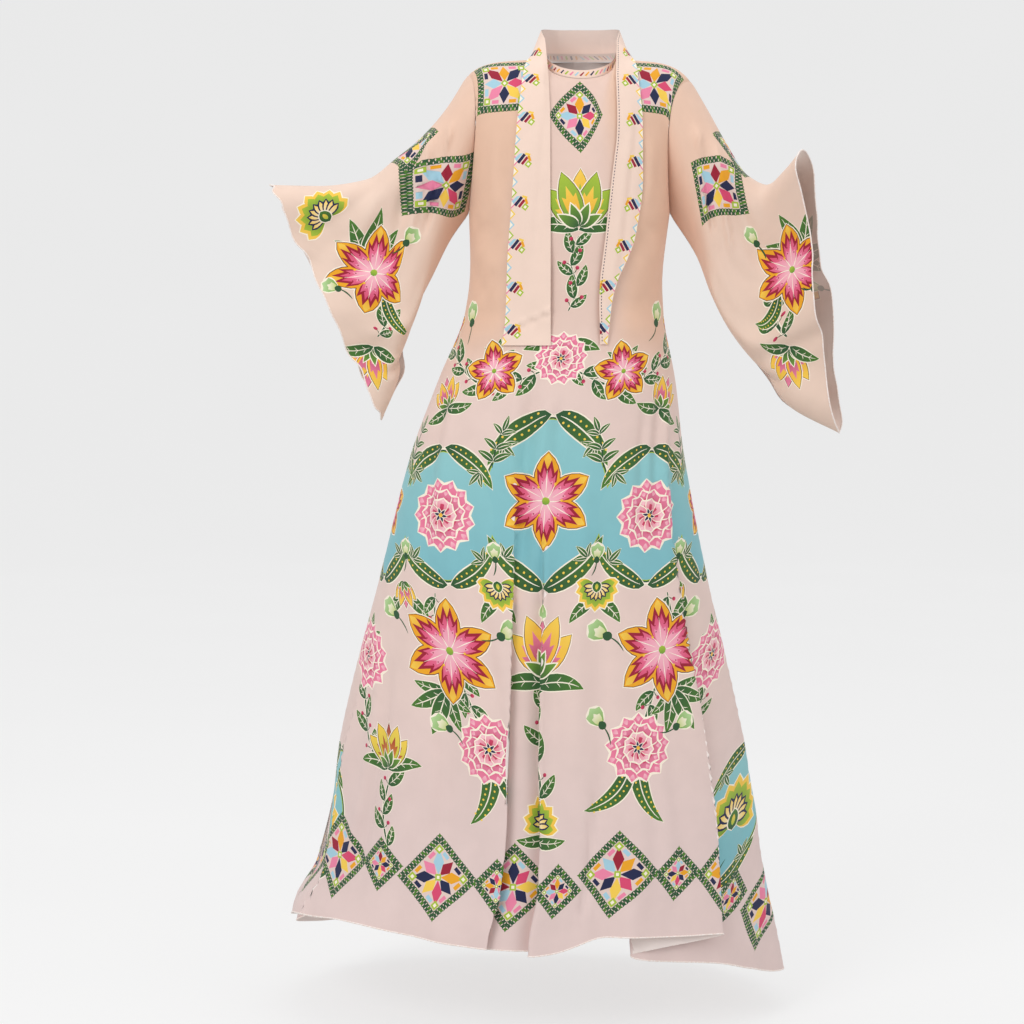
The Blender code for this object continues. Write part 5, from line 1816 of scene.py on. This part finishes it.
def edge_border(edge_u, up_range, inward):
    """A zigzag down the outer edge of the scarf, with a slanting group of bars at each repeat."""
    parts = []
    low, high = up_range
    colours = (GOLD, PINK, LIME, SKY)
    for k, v in enumerate(np.arange(low + 6, high - 4, ZIGZAG_PITCH)):
        u, half = float(edge_u(v)), ZIGZAG_PITCH / 2
        parts.append(patch([(u, v - half), (u + inward * ZIGZAG_DEPTH, v), (u, v + half)], colours[k % 4]))
        heart = [(u, v - half + 3), (u + inward * (ZIGZAG_DEPTH - 3), v), (u, v + half - 3)]
        parts.append(patch(heart, CREAM))
    for v in np.arange(low + 24, high - 14, BORDER_PITCH):
        u = float(edge_u(v)) + inward * 17
        parts += moved(bar_group(), -38 * inward, by=(u, v), mirror=inward < 0)
    return parts


def scarf_piece(name, grid, inward):
    """A stretch of the scarf; inward is 1 where its outer edge is the grid's first column, else -1."""
    chart = make_chart(finer(grid, *SCARF_FINE), 0, (), SCARF_RIPPLES.get(name, ()))
    outer = 0 if inward > 0 else -1
    ups, edges = chart.up[outer], chart.across[outer]
    patches = edge_border(lambda v: np.interp(v, ups, edges), (ups[0], ups[-1]), inward)
    if name == "scarf_right":
        inner_up, inner = chart.up[0], chart.across[0]
        for v in np.arange(inner_up[0] + 6, inner_up[-1] - 4, EDGE_STITCH_PITCH):
            u = float(np.interp(v, inner_up, inner)) + EDGE_STITCH_INSET
            patches.append(bar(u, v, 1.3, 2.6, NAVY))
    columns, rows = (even(count, end) for count, end in zip(SCARF_GRID, SCARF_FINE))
    made = shell(name + "_cloth", chart, columns, rows, patches, plain_ground, crepe)
    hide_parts(name)
    return made


SCARF_RIPPLES = {
    "scarf_left": (
        Ripple(-24, 17, 100, 68, 2.4, 2.0),
        Ripple(-24, 9, 100, 60, 3.4, -1.6),
        Ripple(30, 90, 34, 420, 5, 1.6),
        Ripple(46, 120, 44, 380, 4, -1.2),
    ),
    "scarf_right": (
        Ripple(20, 60, 22, 420, 5, 1.6),
        Ripple(32, 100, 34, 400, 4, -1.2),
    ),
}

crepe = crepe_material("printed viscose crepe")
hem_finish = hem_material()

# Front and backs
trunk_seams = ("first", "last", "top")
charts, made = {}, {}
angles, rises, charts["front"] = trunk_chart(True, -90, 90, GRID_COLUMNS - 1, trunk_seams, RIPPLES["front"])
columns, rows = piece_grid(angles, rises, -90, 90, *FRONT_GRID)
made["front"] = shell(
    "front_cloth", charts["front"], columns, rows, front_print(charts["front"]), blush_ground, crepe, False
)
# Each back half: its angles and which of its columns lies at centre back. They share one print.
BACKS = (("back_right", 90, 180, -1), ("back_left", -180, -90, 0))
for name, start, end, zero in BACKS:
    angles, rises, charts[name] = trunk_chart(False, start, end, zero, trunk_seams, RIPPLES["back"])
whole_back = back_print(charts["back_right"], charts["back_left"])
for name, start, end, zero in BACKS:
    angles = np.linspace(start, end, GRID_COLUMNS)
    columns, rows = piece_grid(angles, rises, start, end, *BACK_GRID)
    made[name] = shell(
        name + "_cloth", charts[name], columns, rows, on_piece(whole_back, charts[name]),
        blush_ground, crepe, False,
    )
for side, name in ((-1, "sleeve_left"), (1, "sleeve_right")):
    charts[name] = chart = sleeve_chart(side)
    columns, rows = even(SLEEVE_GRID[0], SLEEVE_AROUND), even(SLEEVE_GRID[1], SLEEVE_ALONG)
    patches = sleeve_print(chart, side)
    made[name] = shell(name + "_cloth", chart, columns, rows, patches, sleeve_ground, crepe)
for name, cloth in made.items():
    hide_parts(name)

# Rolled hems
for name in ("front", "back_right", "back_left"):
    tube(name + "_hem", charts[name].points[::2, 0], HEM_RADIUS, hem_finish)
for name in ("sleeve_left", "sleeve_right"):
    tube(name + "_hem", charts[name].points[:-1:2, -1], HEM_RADIUS, hem_finish, closed=True)

# Neckband; the tiny angles keep both ends at centre back on their own side
around_neck = np.concatenate([
    [top_edge(np.array(-a if a else -1e-9), False) for a in np.linspace(0, NECK_ANGLE, 25)],
    [top_edge(np.array(a), True) for a in np.linspace(-NECK_ANGLE, NECK_ANGLE, 49)[1:-1]],
    [top_edge(np.array(a if a else 1e-9), False) for a in np.linspace(NECK_ANGLE, 0, 25)],
])
band_chart = make_chart(finer(neckband(around_neck), len(around_neck), BAND_FINE_ROWS), 0, ())


BAND_BAR_PITCH = 8.5  # mm


def band_print(chart):
    """Small slanting bars in turn along the middle of the band."""
    parts = []
    length = chart.across[-1, 0]
    colours = (AMBER, NAVY, LIME, PINK, SKY, CRIMSON)
    for k, u in enumerate(np.arange(5, length - 4, BAND_BAR_PITCH)):
        parts += moved([bar(0, 0, 3.2, 6.5, colours[k % 6])], -24, by=(u, chart.up[0, -1] / 2))
    return parts


columns, rows = even(BAND_GRID[0], len(around_neck)), even(BAND_GRID[1], BAND_FINE_ROWS)
made["neckband"] = shell(
    "neckband_cloth", band_chart, columns, rows, band_print(band_chart), plain_ground, crepe
)
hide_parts("neckband")

# Scarf
made["scarf_back"] = scarf_piece("scarf_back", scarf_back(), 1)
made["scarf_left"] = scarf_piece("scarf_left", scarf_end(-1), 1)
made["scarf_right"] = scarf_piece("scarf_right", scarf_end(1), -1)

# Button
button = frame["nodes"]["button"]
for place in button.material_slots:
    place.material = button_material()

# ------------------------------------------------------------------ studio

FLOOR = -1.56  # the soles of the wearer's shoes, below the hem
FLOOR_REACH, COVE, WALL_TOP = 8.0, 4.0, 12.0  # the flat's reach, the curve's radius, the wall's height
FLOOR_SIDES = 96


def studio_floor():
    """A round floor that rises into a wall all round in one curve, well outside the lamps."""
    profile = [(FLOOR_REACH * share, 0.0) for share in (0.2, 0.5, 0.9, 1.0)]
    for turn in np.radians(np.linspace(0, 90, 17)[1:]):
        profile.append((FLOOR_REACH + COVE * math.sin(turn), COVE * (1 - math.cos(turn))))
    profile.append((FLOOR_REACH + COVE, WALL_TOP))
    vertices, faces = [], []
    for row, (reach, rise) in enumerate(profile):
        for k in range(FLOOR_SIDES):
            turn = 2 * math.pi * k / FLOOR_SIDES
            vertices.append((reach * math.cos(turn), reach * math.sin(turn), FLOOR + rise))
            if row:
                a, b = (row - 1) * FLOOR_SIDES + k, (row - 1) * FLOOR_SIDES + (k + 1) % FLOOR_SIDES
                faces.append((a, a + FLOOR_SIDES, b + FLOOR_SIDES, b))
    faces.append(tuple(range(FLOOR_SIDES)))
    mesh = bpy.data.meshes.new("studio_floor")
    mesh.from_pydata(vertices, [], faces)
    mesh.shade_smooth()
    mesh.materials.append(floor_material())
    floor = new_object("studio_floor", mesh)
    floor.visible_diffuse = False  # the lamps alone light the cloth, so that its creases show


def area_light(name, place, aim, size, power):
    light = bpy.data.lights.new(name, "AREA")
    light.shape = "DISK"
    light.size = size
    light.energy = power
    lamp = new_object(name, light)
    lamp.location = place
    lamp.rotation_euler = (Vector(aim) - Vector(place)).to_track_quat("-Z", "Y").to_euler()


studio_floor()
area_light("key", (-2.6, -3.4, 1.9), (-0.1, 0, -0.8), 2.4, 84)
area_light("fill", (3.2, -2.6, 0.4), (-0.1, 0, -0.8), 3.0, 31)
area_light("top", (0.2, 0.6, 2.4), (-0.1, 0.2, -1.0), 3.0, 24)
world = bpy.data.worlds.new("studio")
world.use_nodes = True
world.node_tree.nodes["Background"].inputs["Color"].default_value = (1, 1, 1, 1)
world.node_tree.nodes["Background"].inputs["Strength"].default_value = 0.62
bpy.context.scene.world = world
bpy.context.scene.view_settings.view_transform = "Standard"

CAMERA_PLACE = Vector((-0.112, -3.79, -0.49))
CAMERA_AIM = Vector((-0.112, 0.0, -0.740))
lens = bpy.data.cameras.new("camera")
lens.lens, lens.sensor_width = 80.5, 36.0
camera = new_object("camera", lens)
camera.location = CAMERA_PLACE
camera.rotation_euler = (CAMERA_AIM - CAMERA_PLACE).to_track_quat("-Z", "Y").to_euler()
bpy.context.scene.camera = camera
